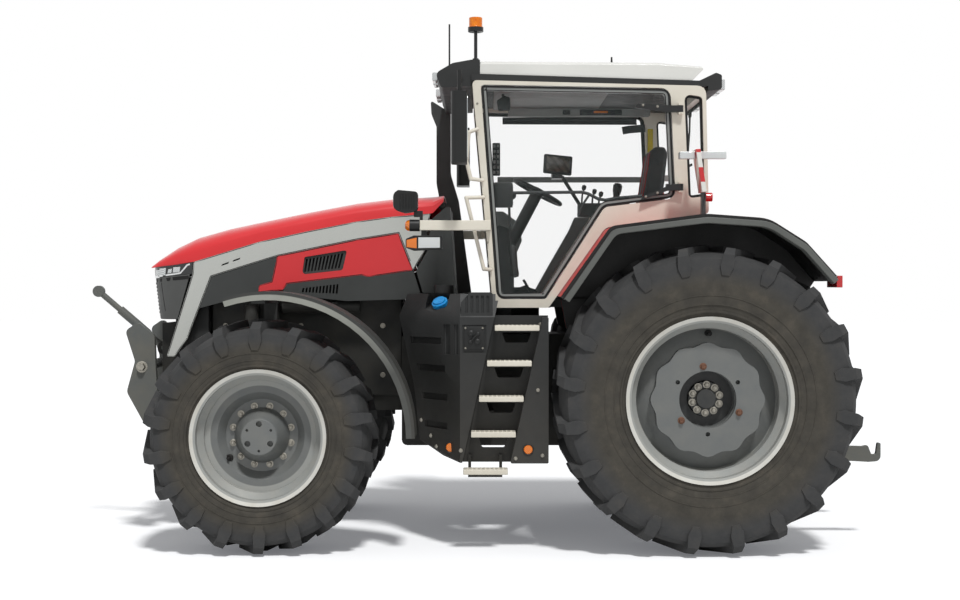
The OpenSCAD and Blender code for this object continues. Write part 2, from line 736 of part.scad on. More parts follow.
// Side view of the roof, and how much lower it is towards its sides
roof_outline = rounded([[visor_rear_x + seat, roof_line(visor_rear_x) + seat, 0],
                        [visor_rear_x + seat, cab_top_z + roof_h, 10], [1240, cab_top_z + roof_h - 10, 200],
                        [cab_rear_x - 20, cab_top_z + 106, 14],
                        [cab_rear_x - 110, roof_line(cab_rear_x - 110) + seat, 0]]);
roof_stations = [[-1, 0.3], [-0.97, 0.14], [-0.92, 0.05], [-0.7, 0],
                 [0.7, 0], [0.92, 0.05], [0.97, 0.14], [1, 0.3]];
module cab_roof() {
  z = cab_top_z + roof_band_front;
  color(roof_white) loft(placed_rings([for (s = roof_stations)
    [for (p = roof_outline) [p[0], s[0] * roof_side_y, p[1] > z ? z + (p[1] - z) * (1 - s[1]) : p[1]]]]));
}

module work_lamps() {
  color(lamp_clear) {
    for (y = [-560, -330, 330, 560])
      block([visor_front_x - 26, y - 70, cab_top_z + 24], [visor_front_x + 9.4, y + 70, cab_top_z + 84]);
    for (y = [-600, -380, 380, 600])
      block([pod_rear_x + seat, y - 70, cab_top_z - 46], [pod_rear_x + 40, y + 70, cab_top_z + 30]);
    // Lamps before and behind the warning boards
    both_sides() {
      plate_xz([[board_x - 147, 2655], [board_x - 147, 2705], [board_front(2705) - seat, 2705],
                [board_front(2655) - seat, 2655]], -board_y - 40, -board_y + 40);
      plate_xz([[board_front(2655) + board_t + seat, 2655], [board_front(2705) + board_t + seat, 2705],
                [board_x + 167, 2705], [board_x + 167, 2655]], -board_y - 40, -board_y + 40);
    }
  }
}

beacon_stalk_h = 197;
module beacon() {
  x = -20;
  y = -cab_half + 90;
  z = cab_top_z + roof_h + seat;
  lamp_z = z + beacon_stalk_h;
  color("orange") {
    post([x, y, z], 22, 14);
    post([x, y, z], 12, beacon_stalk_h + 10);
    post([x, y, lamp_z + 0.5], 54, 36);
    post([x, y, lamp_z + 30], 46, 70.5);
  }
}

mirror_x = -128;
mirror_y = -1155;
mirror_arm_r = 16;
module mirrors() {
  z = cab_top_z + 8;
  color(moulded_black) both_sides() {
    rod([mirror_x, -cab_half + 40 - seat, z], [mirror_x, mirror_y, z], mirror_arm_r);
    rod([mirror_x, mirror_y, z + mirror_arm_r], [mirror_x, mirror_y, 2900], mirror_arm_r - 1);
    plate_xy(rounded([[mirror_x - 54, mirror_y - 120, 40], [mirror_x - 54, mirror_y + 120, 40],
                      [mirror_x + 52, mirror_y + 120, 12], [mirror_x + 52, mirror_y - 120, 12]]), 2620,
                      3093);
  }
}

exhaust_t = 120;
exhaust_y = cab_half - 40 + 4 + exhaust_t / 2;
module exhaust_stack() {
  z = tank_top_z + seat;
  color(panel_grey)
    plate_xz(rounded([[-60, z, 0], [-160, 2480, 120], [-226, 2700, 200], [-226, 3188, 6], [-386, 3288, 12],
                      [-380, 3180, 60], [-339, 3080, 60], [-339, 2620, 200], [-175, z, 0]]),
             exhaust_y - exhaust_t / 2, exhaust_y + exhaust_t / 2);
}

module seat_cushions() {
  color(moulded_black) {
    block([830, -250, 2165], [1260, 250, 2290]);
    plate_xz(rounded([[1180, 2290.3, 30], [1290, 2850, 50], [1390, 2850, 40], [1330, 2290.3, 30]]),
             -240, 240);
  }
}
module seat_base() {
  color(panel_grey) {
    block([850, -200, sill_z + floor_t + seat], [1250, 200, 1900]);
    block([860, -160, 1900], [1240, 160, 2165 - seat]);
  }
}
module steering_column() {
  color(moulded_black) {
    block([126, -180, sill_z + floor_t + seat], [260, 180, 2200]);
    rod([230, 0, 2100], [437, 0, 2494], 45);
    at([440, 0, 2500]) rotate([0, 28, 0]) {
      rotate_extrude() translate([190, 0]) circle(r = 16);
      cylinder(r = 60, h = 20, center = true);
      for (a = [0, 120, 240]) rotate([0, 90, a]) cylinder(r = 10, h = 190);
    }
  }
}
module armrest() {
  color(moulded_black) {
    block([760, 262, 2330], [1180, 360, 2420]);
    block([1000, 262, 2100], [1100, 340, 2331]);
    block([1000, 160 + seat, 2000], [1100, 340, 2101]);
    // Display on its stalk
    rod([790, 310, 2400], [640, 310, 2640], 14);
    block([560, 220, 2620], [640, 400, 2780]);
  }
}

// Door and rear window

// Hinge arm: how far it reaches over the glass and how it rises to its pin
hinge_arms = [[1110, -86], [1075, 14]];
latch_z = 2430;
module door_frame() {
  color(panel_grey) {
    difference() {
      plate_xz(rounded(inset(door_outline, door_gap)), -cab_half, -cab_half + 40);
      plate_xz(rounded(inset(door_outline, door_gap + door_rim)), -cab_half - 1, -cab_half + 41);
    }
    // Latch behind the glass
    block([96, -cab_half + 34, latch_z - 85], [236, -cab_half + 74, latch_z + 85]);
    // Hinge arms reaching back to the pins on the pillar
    for (i = [0, 1]) let (z = door_hinge_z[i], arm = hinge_arms[i])
      difference() {
        union() {
          plate_xz(rounded([[arm[0], z + arm[1] - 8, 5], [arm[0] + 20, z + arm[1] + 20, 8],
                            [door_hinge_x - 60, z + 22, 30], [door_hinge_x, z + 22, 0],
                            [door_hinge_x, z - 22, 0],
                            [door_hinge_x - 90, z - 24, 30]]), door_hinge_y - 18, -cab_half - 7);
          block([1290, door_hinge_y - 18, z - 22], [door_arm_free_x, -cab_half + 1, z + 22]);
          post([door_hinge_x, door_hinge_y, z - 22], 18, 44);
        }
        block([door_arm_free_x, -cab_half - 7, z - 30], [door_hinge_x + 40, -cab_half + 10, z + 30]);
        post([door_hinge_x, door_hinge_y, z - 30], hinge_pin_r + run, 60);
      }
  }
}
module door_glass() {
  color(glass_tint)
    plate_xz(rounded(inset(door_outline, door_gap + door_rim + seat)), -cab_half + 14,
             -cab_half + 14 + glass_t);
}

module rear_window() {
  half = cab_half - frame_t - 10;
  x = cab_rear_x - 25 + seat;
  color(glass_tint) {
    block([x, -half, belt_z - 20], [x + glass_t, half, window_hinge_z - window_knuckle_r - 4]);
    // Knuckles on its upper edge
    both_sides() difference() {
      union() {
        bar_y(window_hinge_x, window_hinge_z, window_knuckle_r, -window_hinge_y - 30, -window_hinge_y + 30);
        block([x, -window_hinge_y - 30, window_hinge_z - 30],
              [x + glass_t + 6, -window_hinge_y + 30, window_hinge_z - 4]);
      }
      bar_y(window_hinge_x, window_hinge_z, window_pin_r + run, -window_hinge_y - 31, -window_hinge_y + 31);
    }
  }
}

// Bonnet

side_front_x = -2050;
side_rear_x = -450;
side_slope = (bonnet_rear_w - bonnet_nose_w) / 2 / (side_rear_x - side_front_x);
// Half width of the bonnet's side plane at x
function side_y(x) = bonnet_nose_w / 2 + (x - side_front_x) * side_slope;

// A plate on both sides of the bonnet, its outer face proud of the side plane by rise
module bonnet_plate(points, thick, rise = 0) {
  x = along(side_front_x);
  yaw = atan((bonnet_rear_w - bonnet_nose_w) / 2 / (along(side_rear_x) - x));
  both_sides()
    translate([x, -bonnet_nose_w / 2, 0]) rotate([0, 0, -yaw])
      translate([-x, 0, 0]) plate_xz(points, -rise, thick - rise);
}

// Stations along the bonnet: x, distance inside the side plane, edge height, crown height
bonnet_stations = [
  [-2390, 139, 1930, 1945], [-2330, 73, 1938, 1995], [-2200, 33, 1950, 2085], [-2050, 4, 1974, 2158],
  [-1820, 2.5, 2044, 2222], [-1583, 2.5, 2116, 2272], [-1240, 2.5, 2190, 2342], [-886, 2.5, 2260, 2408],
  [-633, 2.5, 2295, 2438], [-330, 6, 2320, 2456], [-250, 8, 2405, 2460]];
section_n = 14;
section_p = 3.2;
function bonnet_arc(s, t) =
  [for (i = [0 : section_n])
    let (a = 180 * i / section_n, c = cos(a))
    [s[0], sign(c) * pow(abs(c), 2 / section_p) * (side_y(s[0]) - s[1] - t),
     s[2] + (s[3] - s[2] - t) * pow(abs(sin(a)), 2 / section_p)]];

shell_t = 12;
module bonnet_shell() {
  color(bonnet_red)
    loft(placed_rings([for (s = bonnet_stations) concat(bonnet_arc(s, 0),
                                                        reversed(bonnet_arc(s, shell_t)))]));
}

blade_outline = [
  each [for (s = bonnet_stations) if (s[0] >= side_front_x && s[0] < -340) [s[0], s[2] - seat]],
  [-345, 2317],
  [-354, 2281], [-386, 2055], [-467, 1912], [-573, 2180], [-884, 2132], [-1446, 2017], [-1926, 1869],
  [-2099, 1420], [-2190, 1293], [-2246, 1293], [-2059, 1886]];
// Short air slots through the front of the blade
blade_slots = [[-1852, 1944], [-1770, 1974]];
slot_run = [52, 17];
slot_h = 13;
function slot_outline(p) = [p, p + [8, slot_h], p + slot_run + [4, slot_h], p + slot_run];
module bonnet_blades() {
  color(blade_silver) difference() {
    bonnet_plate(blade_outline, panel_t, 4);
    for (p = blade_slots) bonnet_plate(slot_outline(p), panel_t + 20, 10);
  }
}

side_panel = [[-1446, 2016], [-884, 2131], [-574, 2179], [-470, 1913], [-792, 1866], [-840, 1878],
              [-1377, 1816], [-1404, 1772], [-1583, 1755], [-1579, 1803], [-1487, 1832]];
front_vent_panel = [[-1924, 1868], [-1448, 2015], [-1488, 1833], [-1580, 1804], [-1584, 1752],
                    [-2012, 1640]];
lower_vent_panel = [[-1376, 1815], [-840, 1877], [-792, 1865], [-468, 1911], [-420, 1757], [-420, 1707],
                    [-947, 1692], [-1400, 1740], [-1403, 1771]];
// Air vents: the one in the red panel and the one below it, both with leaning slats
upper_vent = [[-1250, 2008, 14], [-943, 2058, 14], [-976, 1914, 22], [-1269, 1882, 22]];
lower_vent = [[-1272, 1795, 8], [-978, 1828, 8], [-990, 1732, 12], [-1284, 1744, 12]];
vent_slats = 12;
slat_share = 0.42;
vent_depth = 12;
// Slot number i between the slats of a vent, with a margin at its ends
function slat_slot(vent, i, margin) =
  let (high = flat(vent[0]), high_run = flat(vent[1]) - high,
       low = flat(vent[3]), low_run = flat(vent[2]) - low,
       from = (i + slat_share) / vent_slats, to = (i + 1) / vent_slats,
       up = unit(high - low) * margin)
  [low + low_run * from + up, high + high_run * from - up, high + high_run * to - up,
   low + low_run * to + up];
module vent_slots(vent, margin) {
  for (i = [0 : vent_slats - 2]) bonnet_plate(slat_slot(vent, i, margin), panel_t + 20, 10);
}
module bonnet_side_panels() {
  color(bonnet_red) difference() {
    bonnet_plate(side_panel, panel_t);
    bonnet_plate(rounded(upper_vent), panel_t + 20, 10);
  }
}
module bonnet_vent_panels() {
  color(panel_grey) {
    bonnet_plate(front_vent_panel, panel_t);
    difference() {
      bonnet_plate(lower_vent_panel, panel_t);
      vent_slots(lower_vent, 12);
    }
    // Slatted insert in the red panel
    difference() {
      bonnet_plate(rounded(inset(upper_vent, seat)), panel_t - vent_depth, -vent_depth);
      vent_slots(upper_vent, 18);
    }
  }
}

bonnet_hinge_x = -262;
bonnet_hinge_z = 2390;
bonnet_hinge_y = 300;
bonnet_pin_r = 10;
bonnet_ear_t = 20;
// Ear that hangs from the shell, drawn round its pin
bonnet_ear = rounded([[-26, -22, 20], [-26, 44.7, 0], [4, 45.7, 0], [24, -22, 20]]);
module bonnet_hinges() {
  color(casting_grey) both_sides()
    at([bonnet_hinge_x, -bonnet_hinge_y + bonnet_ear_t / 2, bonnet_hinge_z]) rotate([90, 0, 0])
      linear_extrude(bonnet_ear_t) difference() {
        polygon(bonnet_ear);
        circle(r = bonnet_pin_r + run);
      }
}

// Plan of the nose, from the left blade round to the right one, moved in by t
function nose_plan(x_front, half, x_side, t) =
  [for (i = [0 : 12]) let (a = -90 + 180 * i / 12)
    [x_side - (x_side - x_front - t) * pow(abs(cos(a)), 0.6),
     sign(sin(a)) * pow(abs(sin(a)), 0.6) * (half - t)]];
// Ring of the nose whose height follows a table over x
function nose_ring(heights, x_front, half, x_side, t) =
  [for (p = concat(nose_plan(x_front, half, x_side, 0), reversed(nose_plan(x_front, half, x_side, t))))
    [p[0], p[1], lookup(p[0], heights)]];
nose_t = 25;
nose_half = bonnet_nose_w / 2;
nose_low_z = 1560;
edge_heights = [for (s = bonnet_stations) [s[0], s[2] - seat]];
lamp_low_heights = [[-2390, 1856], [-2060, 1888]];
grille_top_heights = [for (h = lamp_low_heights) [h[0], h[1] - seat]];

module nose_grille() {
  color(panel_grey) loft(placed_rings([
    nose_ring(grille_top_heights, -2380, nose_half - 8, -2080, nose_t),
    nose_ring([[-2400, nose_low_z], [-2000, nose_low_z]], -2335, nose_half - 16, -2172, nose_t)]));
}
module headlamps() {
  color(lamp_clear) loft(placed_rings([
    nose_ring(edge_heights, -2388, nose_half - 6, -2058, nose_t),
    nose_ring(lamp_low_heights, -2383, nose_half - 8, -2064, nose_t)]));
}

// Cowl between the bonnet and the cab

cowl_top_z = 2365;
cowl_low_z = tank_top_z + 4;
cowl_rear_top_x = -205;
cowl_rear_low_x = -165;
cowl_t = 20;
module cowl() {
  outer = bonnet_rear_w / 2;
  color(panel_grey) {
    both_sides()
      plate_xz([[-316, 2296], [-235, cowl_top_z], [cowl_rear_top_x, cowl_top_z],
                [cowl_rear_low_x, cowl_low_z],
                [-400, cowl_low_z], [-448, 1908], [-370, 2048], [-334, 2280]], -outer, -outer + cowl_t);
    // Leaning rear wall that stands on the gearbox
    plate_xz([[cowl_rear_top_x - cowl_t, cowl_top_z], [cowl_rear_top_x, cowl_top_z],
              [cowl_rear_low_x, cowl_low_z],
              [cowl_rear_low_x, gearbox_top_z + seat], [cowl_rear_low_x - cowl_t, gearbox_top_z + seat],
              [cowl_rear_low_x - cowl_t, cowl_low_z]], -outer + cowl_t - 1, outer - cowl_t + 1);
    // Bonnet hinge pins on brackets
    both_sides() {
      plate_xz([[cowl_rear_top_x - 5, cowl_top_z - 40], [-290, bonnet_hinge_z - 26],
                [-290, bonnet_hinge_z + 14],
                [-240, bonnet_hinge_z + 14], [cowl_rear_top_x - 5, cowl_top_z - 1]],
               -bonnet_hinge_y + 11, -bonnet_hinge_y + 23);
      bar_y(bonnet_hinge_x, bonnet_hinge_z, bonnet_pin_r, -bonnet_hinge_y - 14, -bonnet_hinge_y + 12);
    }
  }
}

// Tanks and steps

// Front edges of the steps from the top one down; the lowest hangs on a bracket
step_x = [109, 57, 3, -50, -103];
step_lean = 53 / step_rise;
step_w = 300;
step_top_z = 1536;
step_out = 80;
riser_y = tank_outer_y - 70;
riser_t = 40;
tread_t = 36;
function step_z(i) = step_top_z - i * step_rise;

// Front end of a tank: height, place along the tractor and half width
tank_stations = [[tank_bottom_z, -250, tank_outer_y - 10], [720, -415, tank_outer_y],
                 [1100, -455, tank_outer_y],
                 [1590, -560, tank_outer_y], [tank_top_z, -500, tank_outer_y - 110]];
tank_corner_x = -125;
tank_corner_y = 620;
tank_cap = [-262, -812, 1668];
tank_cap_lean = 35;
tank_cap_turn = -30;
cab_clear_x = 40;
door_sweep_x = 116;
door_sweep_z = 1700;
// Plan of a tank with its front corner cut back for the steered fender
function tank_plan(s, x1) =
  [[s[1], -tank_inner_y, s[0]], [s[1], -tank_corner_y, s[0]], [tank_corner_x, -s[2], s[0]],
   [x1, -s[2], s[0]], [x1, -tank_inner_y, s[0]]];
bead_depth = 14;
// Bead pressed into the tank's corner face at height z, from the corner forwards
module corner_bead(z, from, len, high) {
  front_x = lookup(z, [for (s = tank_stations) [s[0], along(s[1])]]);
  run_x = along(tank_corner_x) - front_x;
  face = atan2(tank_corner_y - tank_outer_y, run_x);
  at([tank_corner_x, -tank_outer_y, z - high / 2]) rotate([0, 0, face])
    translate([-from - len, -30, 0]) linear_extrude(high)
      polygon(rounded([[0, 0, 0], [0, bead_depth + 30, 10], [len, bead_depth + 30, 10], [len, 0, 0]]));
}
corner_beads = [[1424, 190, 330, 46], [1235, 150, 330, 46], [1037, 150, 310, 46], [842, 150, 300, 46]];
upright_beads = [[18, 42], [100, 66]];

// Tank whose rear end leans by lean per millimetre of height, cut away under the cab
module tank(rear_x, lean) {
  difference() {
    loft(placed_rings([for (s = tank_stations) tank_plan(s, rear_x - (step_top_z - s[0]) * lean)]));
    block([cab_clear_x, -cab_half - 60, sill_z - 8], [600, 0, tank_top_z + 10]);
    for (b = corner_beads) corner_bead(b[0], b[1], b[2], b[3]);
  }
}
vent_box_ribs = 5;
module fuel_tanks() {
  color(moulded_black) {
    difference() {
      tank(step_x[0] - 12, step_lean);
      // The door's lower edge swings over this corner
      block([door_sweep_x, -tank_outer_y - 1, door_sweep_z], [600, -cab_half + 1, tank_top_z + 10]);
      // Recess round the filler cap
      at(tank_cap) rotate([tank_cap_lean, 0, tank_cap_turn])
        linear_extrude(200) polygon(rounded([[-100, -80, 20], [-100, 80, 20], [100, 80, 20],
                                             [100, -80, 20]]));
      // Recess of the switch plate
      block([-110, -tank_outer_y - 1, 1350], [52, -tank_outer_y + 8, 1538]);
      // Two upright beads near the corner
      for (b = upright_beads) corner_bead(1437, b[0], b[1], 203);
    }
    // Ribbed box on the left tank, and the switch plate
    difference() {
      plate_xz(rounded([[-118, 1560, 0], [-118, 1690, 20], [-60, 1757, 40], [96, 1757, 14], [96, 1560, 0]]),
               -tank_outer_y + 6, -tank_outer_y + 150);
      for (i = [0 : vent_box_ribs - 1])
        block([-90 + i * 36, -tank_outer_y - 1, 1620], [-72 + i * 36, -tank_outer_y + 16, 1735]);
    }
    block([-98, -tank_outer_y + 2, 1362], [40, -tank_outer_y + 10, 1526]);
    mirror([0, 1, 0]) tank(470, 0);
  }
}
module filler_caps() {
  color("deepskyblue") at(tank_cap) rotate([tank_cap_lean, 0, tank_cap_turn])
    translate([0, 0, seat]) {
      cylinder(r = 56, h = 30);
      cylinder(r = 44, h = 44);
    }
  color(moulded_black) post([-244, -660, tank_top_z + seat], 70, 60);
}

panel_rear_x = 472;
// Leaning front edge of the panel behind the steps
function panel_edge(z) = step_x[0] + step_w + 12 - (step_top_z - z) * step_lean;
hanger_x = [-70, 140];
hanger_t = 20;
hanger_low_z = 516;
module step_frame() {
  low_x = step_x[0] - 11 - (step_top_z - tank_bottom_z) * step_lean;
  color(moulded_black) {
    // Riser behind the treads, with a toe hole under each tread
    difference() {
      plate_xz([[step_x[0] + 4, 1600], [panel_rear_x, 1600], [panel_rear_x, tank_bottom_z],
                [low_x, tank_bottom_z],
                [step_x[0] - 11, step_top_z]], -riser_y, -riser_y + riser_t);
      for (i = [0 : step_count - 1])
        let (x = step_x[i], z = step_z(i) - tread_t)
          plate_xz(rounded([[x + 50, z - 14, 8], [x + 250, z - 14, 8], [x + 226, z - 84, 16],
                            [x + 74, z - 84, 16]]),
                   -riser_y - 1, -riser_y + riser_t + 1);
    }
    // Side panel between the steps and the rear tyre
    plate_xz(rounded([[panel_edge(1590), 1590, 10], [panel_rear_x, 1590, 10],
                      [panel_rear_x, tank_bottom_z, 10],
                      [panel_edge(tank_bottom_z), tank_bottom_z, 10]]), -tank_outer_y - 30, -riser_y + 1);
    block([300, -riser_y + riser_t - 1, 760], [390, -tank_inner_y, 900]);
    // Bracket of the lowest step
    for (x = hanger_x) block([x, -riser_y - 28, hanger_low_z], [x + hanger_t, -riser_y + 10, 660]);
    block([hanger_x[0], -riser_y - 110, hanger_low_z],
          [hanger_x[1] + hanger_t, -riser_y - 27, hanger_low_z + hanger_t - seat]);
  }
}
module step_treads() {
  color(cab_cream) {
    for (i = [0 : step_count - 1])
      block([step_x[i], -tank_outer_y - step_out, step_z(i) - tread_t],
            [step_x[i] + step_w, -riser_y - seat, step_z(i)]);
    block([step_x[4], -tank_outer_y - step_out, hanger_low_z + hanger_t],
          [step_x[4] + step_w, -riser_y - 28 - seat, hanger_low_z + hanger_t + tread_t]);
  }
}

rail_r = 13;
rail_bulge = 30;
// Bent rail through points in X and Z; its two ends lie on the front pillar's outer face
module pillar_rail(path) {
  last = len(path) - 1;
  out_y = -cab_half - rail_r - rail_bulge;
  // Half width of a slanting end across the pillar's face
  function end_half(a, b) =
    rail_r * norm([b[0] - a[0], b[1] - a[1]]) / norm([b[0] - a[0], rail_bulge, b[1] - a[1]]);
  p = [for (i = [0 : last]) [path[i][0],
    i == 0 ? -cab_half - seat - end_half(path[0], path[1]) :
    i == last ? -cab_half - seat - end_half(path[last], path[last - 1]) : out_y, path[i][1]]];
  for (i = [0 : last - 1]) rod(p[i], p[i + 1], rail_r);
  for (i = [1 : last - 1]) at(p[i]) sphere(r = rail_r + 0.6);
}
module hand_rails() {
  color(cab_cream) {
    pillar_rail([[44, 2412], [-85, 2407], [36, 1917], [92, 1912]]);
    pillar_rail([[36, 2527], [-53, 2537], [-82, 2656], [-67, 2857], [0, 2885]]);
  }
}
arm_front_x = -400;
arm_y = 970;
arm_half = 34;
arm_z = 2213;
module lamp_arms() {
  color(cab_cream) both_sides() {
    block([arm_front_x, -arm_y - arm_half, arm_z - arm_half], [84, -arm_y + arm_half, arm_z + arm_half]);
    block([20, -arm_y, arm_z - arm_half], [84, -cab_half - seat, arm_z + arm_half]);
  }
}
module arm_lamps() {
  color(moulded_black) both_sides() {
    // Work lamp on its foot
    plate_xz(rounded([[-578, 2320, 40], [-578, 2430, 40], [-545, 2452, 20], [-413, 2440, 20],
                      [-413, 2310, 30],
                      [-500, 2296, 20]]), -arm_y - 55, -arm_y + 55);
    block([-440, -arm_y - 20, 2270], [arm_front_x + 20, -arm_y + 20, 2312]);
    block([arm_front_x, -arm_y - 20, arm_z + arm_half + seat], [arm_front_x + 20, -arm_y + 20, 2312]);
    // Direction lamp at the arm's end
    at([-470, -arm_y, arm_z]) rotate([0, 90, 0])
      cylinder(r = 40, h = along(arm_front_x) - along(-470) - seat);
    // Lower lamp on its hanger
    plate_xz(rounded([[-495, 2060, 15], [-495, 2120, 15], [-440, 2143, 15], [-243, 2143, 15],
                      [-243, 2050, 15],
                      [-440, 2040, 15]]), -arm_y - 45, -arm_y + 45);
    block([-390, -arm_y - 15, 2140], [-350, -arm_y + 15, arm_z - arm_half - seat]);
  }
}
module warning_boards() {
  color("white") both_sides() {
    // Board that leans, and its foot on the fender
    plate_xz([[board_front(board_low_z), board_low_z], [board_front(board_top_z), board_top_z],
              [board_front(board_top_z) + board_t, board_top_z],
              [board_front(board_low_z) + board_t, board_low_z]],
             -board_y - board_half, -board_y + board_half);
    block([board_x, -board_y - 24, 2282], [board_x + board_t, -board_y + 24, 2460]);
  }
}

// Front and rear linkage

module front_lift_arms() {
  y = hook_span / 2 - 40;
  color(casting_grey) {
    for (s = [-1, 1])
      plate_xz(rounded([[linkage_x + 40, linkage_z - 45, 40], [linkage_x - 60, linkage_z - 45, 40],
                        [linkage_x - 190, 1040, 60], [linkage_x - 130, 1260, 60],
                        [linkage_x - 200, 1480, 40],
                        [linkage_x - 110, 1540, 30], [linkage_x + 10, 1450, 60], [linkage_x + 20, 1200, 60],
                        [linkage_x + 40, linkage_z + 60, 60]]), s * y - 25, s * y + 25);
    bar_y(linkage_x, linkage_z, linkage_pin_r, -y - 25, y + 25);
    bar_y(linkage_x - 80, 1220, 36, -y, y);
  }
}
module front_top_link() {
  tip_x = -drawn_tip_x + 42;
  tip_z = 1760;
  color(casting_grey) {
    bar_y(top_link_x, top_link_z, top_link_pin_r, -60, 60);
    bar_y(top_link_x, top_link_z, 34, -30, 30);
    rod([top_link_x, 0, top_link_z], [tip_x, 0, tip_z], 22);
    rod([top_link_x - 120, 0, top_link_z + 120 * (tip_z - top_link_z) / (top_link_x - tip_x)],
        [top_link_x - 330, 0, top_link_z + 330 * (tip_z - top_link_z) / (top_link_x - tip_x)], 32);
    bar_y(tip_x, tip_z, 42, -24, 24);
  }
}

hook_x = drawn_tip_x;
hook_z = 590;
rod_x = link_pin_x + lift_reach;
rod_pin_r = 15;
eye_r = 38;
module rear_lower_links() {
  y0 = link_y - link_t / 2;
  y1 = link_y + link_t / 2;
  color(casting_grey) both_sides() difference() {
    union() {
      // Bar from the eye at the gearbox to the hook
      plate_xz(rounded([[link_pin_x - 55, link_pin_z - 50, 40], [link_pin_x - 55, link_pin_z + 50, 40],
                        [rod_x, link_pin_z + 45, 20], [hook_x - 130, hook_z + 62, 20],
                        [hook_x - 92, hook_z + 70, 12], [hook_x - 66, hook_z + 4, 12],
                        [hook_x - 34, hook_z + 4, 12], [hook_x - 22, hook_z + 86, 8],
                        [hook_x, hook_z + 86, 8], [hook_x, hook_z - 44, 40], [hook_x - 90, hook_z - 50, 40],
                        [rod_x, link_pin_z - 45, 20]]), -y1, -y0);
      // Pin for the lift rod's lower eye
      bar_y(rod_x, link_pin_z, rod_pin_r, -y0 - 1, -y0 + rod_t);
    }
    bar_y(link_pin_x, link_pin_z, link_pin_r + run, -y1 - 1, -y0 + 1);
  }
}
module rear_lift_arms() {
  y0 = lift_y - lift_t / 2;
  y1 = lift_y + lift_t / 2;
  color(casting_grey) both_sides() difference() {
    union() {
      bar_y(rock_x, rock_z, 82, -y1, -y0);
      plate_xz([[rock_x, rock_z - 70], [rock_x, rock_z + 70], [rod_x + 30, rock_z + 40],
                [rod_x + 44, rock_z + 24],
                [rod_x + 44, rock_z - 24], [rod_x + 30, rock_z - 40]], -y1, -y0);
      // Pin for the lift rod's upper eye
      bar_y(rod_x, rock_z, rod_pin_r, -y1 - rod_t, -y1 + 1);
    }
    bar_y(rock_x, rock_z, rock_r + run, -y1 - 1, -y0 + 1);
  }
}
module rear_lift_rods() {
  y0 = lift_y + lift_t / 2 + run;
  y1 = y0 + rod_t;
  color(casting_grey) both_sides() difference() {
    union() {
      for (z = [rock_z, link_pin_z]) bar_y(rod_x, z, eye_r, -y1, -y0);
      post([rod_x, -(y0 + y1) / 2, link_pin_z + 20], rod_t / 2 - 1, rock_z - link_pin_z - 40);
      post([rod_x, -(y0 + y1) / 2, link_pin_z + 220], rod_t / 2, 240);
    }
    for (z = [rock_z, link_pin_z]) bar_y(rod_x, z, rod_pin_r + run, -y1 - 1, -y0 + 1);
  }
}

hitch_bore_r = 16.25;
pto_r = 17.5;
pto_len = 90;
module tow_hitch() {
  x = drawn_rear_x + 250 + seat;
  color(casting_grey) {
    block([x, -130, 600], [x + 60, 130, 1080]);
    // Drawbar with its pin hole
    difference() {
      plate_xy(rounded([[x, -60, 0], [x + 360, -60, 50], [x + 360, 60, 50], [x, 60, 0]]), 520, 560);
      post([x + 300, 0, 510], hitch_bore_r, 60);
    }
    block([x, -100, 520], [x + 60, 100, 601]);
    // Power take-off stub
    at([x + 59, 0, 760]) rotate([0, 90, 0]) cylinder(r = pto_r, h = pto_len + 1);
    // Ears of the rear top link
    for (s = [-1, 1]) difference() {
      plate_xz(rounded([[x + 50, 960, 0], [x + 50, 1078, 0], [x + 160, 1070, 40], [x + 160, 980, 40]]),
               s * 45 - 12, s * 45 + 12);
      bar_y(x + 118, 1024, hitch_bore_r, s * 45 - 20, s * 45 + 20);
    }
  }
}

engine_block();
radiator();
front_frame();
front_axle();
transmission();
cowl();
cab_floor();
cab_frame();
cab_glass();
roof_base();
cab_roof();
work_lamps();
beacon();
mirrors();
exhaust_stack();
seat_cushions();
seat_base();
steering_column();
armrest();
rear_fenders();
fender_flares();
tail_lamps();
fuel_tanks();
filler_caps();
step_frame();
step_treads();
hand_rails();
lamp_arms();
arm_lamps();
warning_boards();
tow_hitch();
bonnet_shell();
bonnet_blades();
bonnet_side_panels();
bonnet_vent_panels();
bonnet_hinges();
nose_grille();
headlamps();
knuckle();  // knuckle_left
mirror([0, 1, 0]) knuckle();  // knuckle_right
front_fender();  // front_fender_left
mirror([0, 1, 0]) front_fender();  // front_fender_right
front_rim();  // front_rim_left
mirror([0, 1, 0]) front_rim();  // front_rim_right
front_tyre();  // front_tyre_left
mirror([0, 1, 0]) front_tyre();  // front_tyre_right
rear_rim();  // rear_rim_left
mirror([0, 1, 0]) rear_rim();  // rear_rim_right
rear_tyre();  // rear_tyre_left
mirror([0, 1, 0]) rear_tyre();  // rear_tyre_right
door_frame();
door_glass();
rear_window();
front_lift_arms();
front_top_link();
rear_lower_links();
rear_lift_arms();
rear_lift_rods();
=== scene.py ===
import math

import bmesh
import bpy
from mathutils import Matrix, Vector
from mathutils.bvhtree import BVHTree


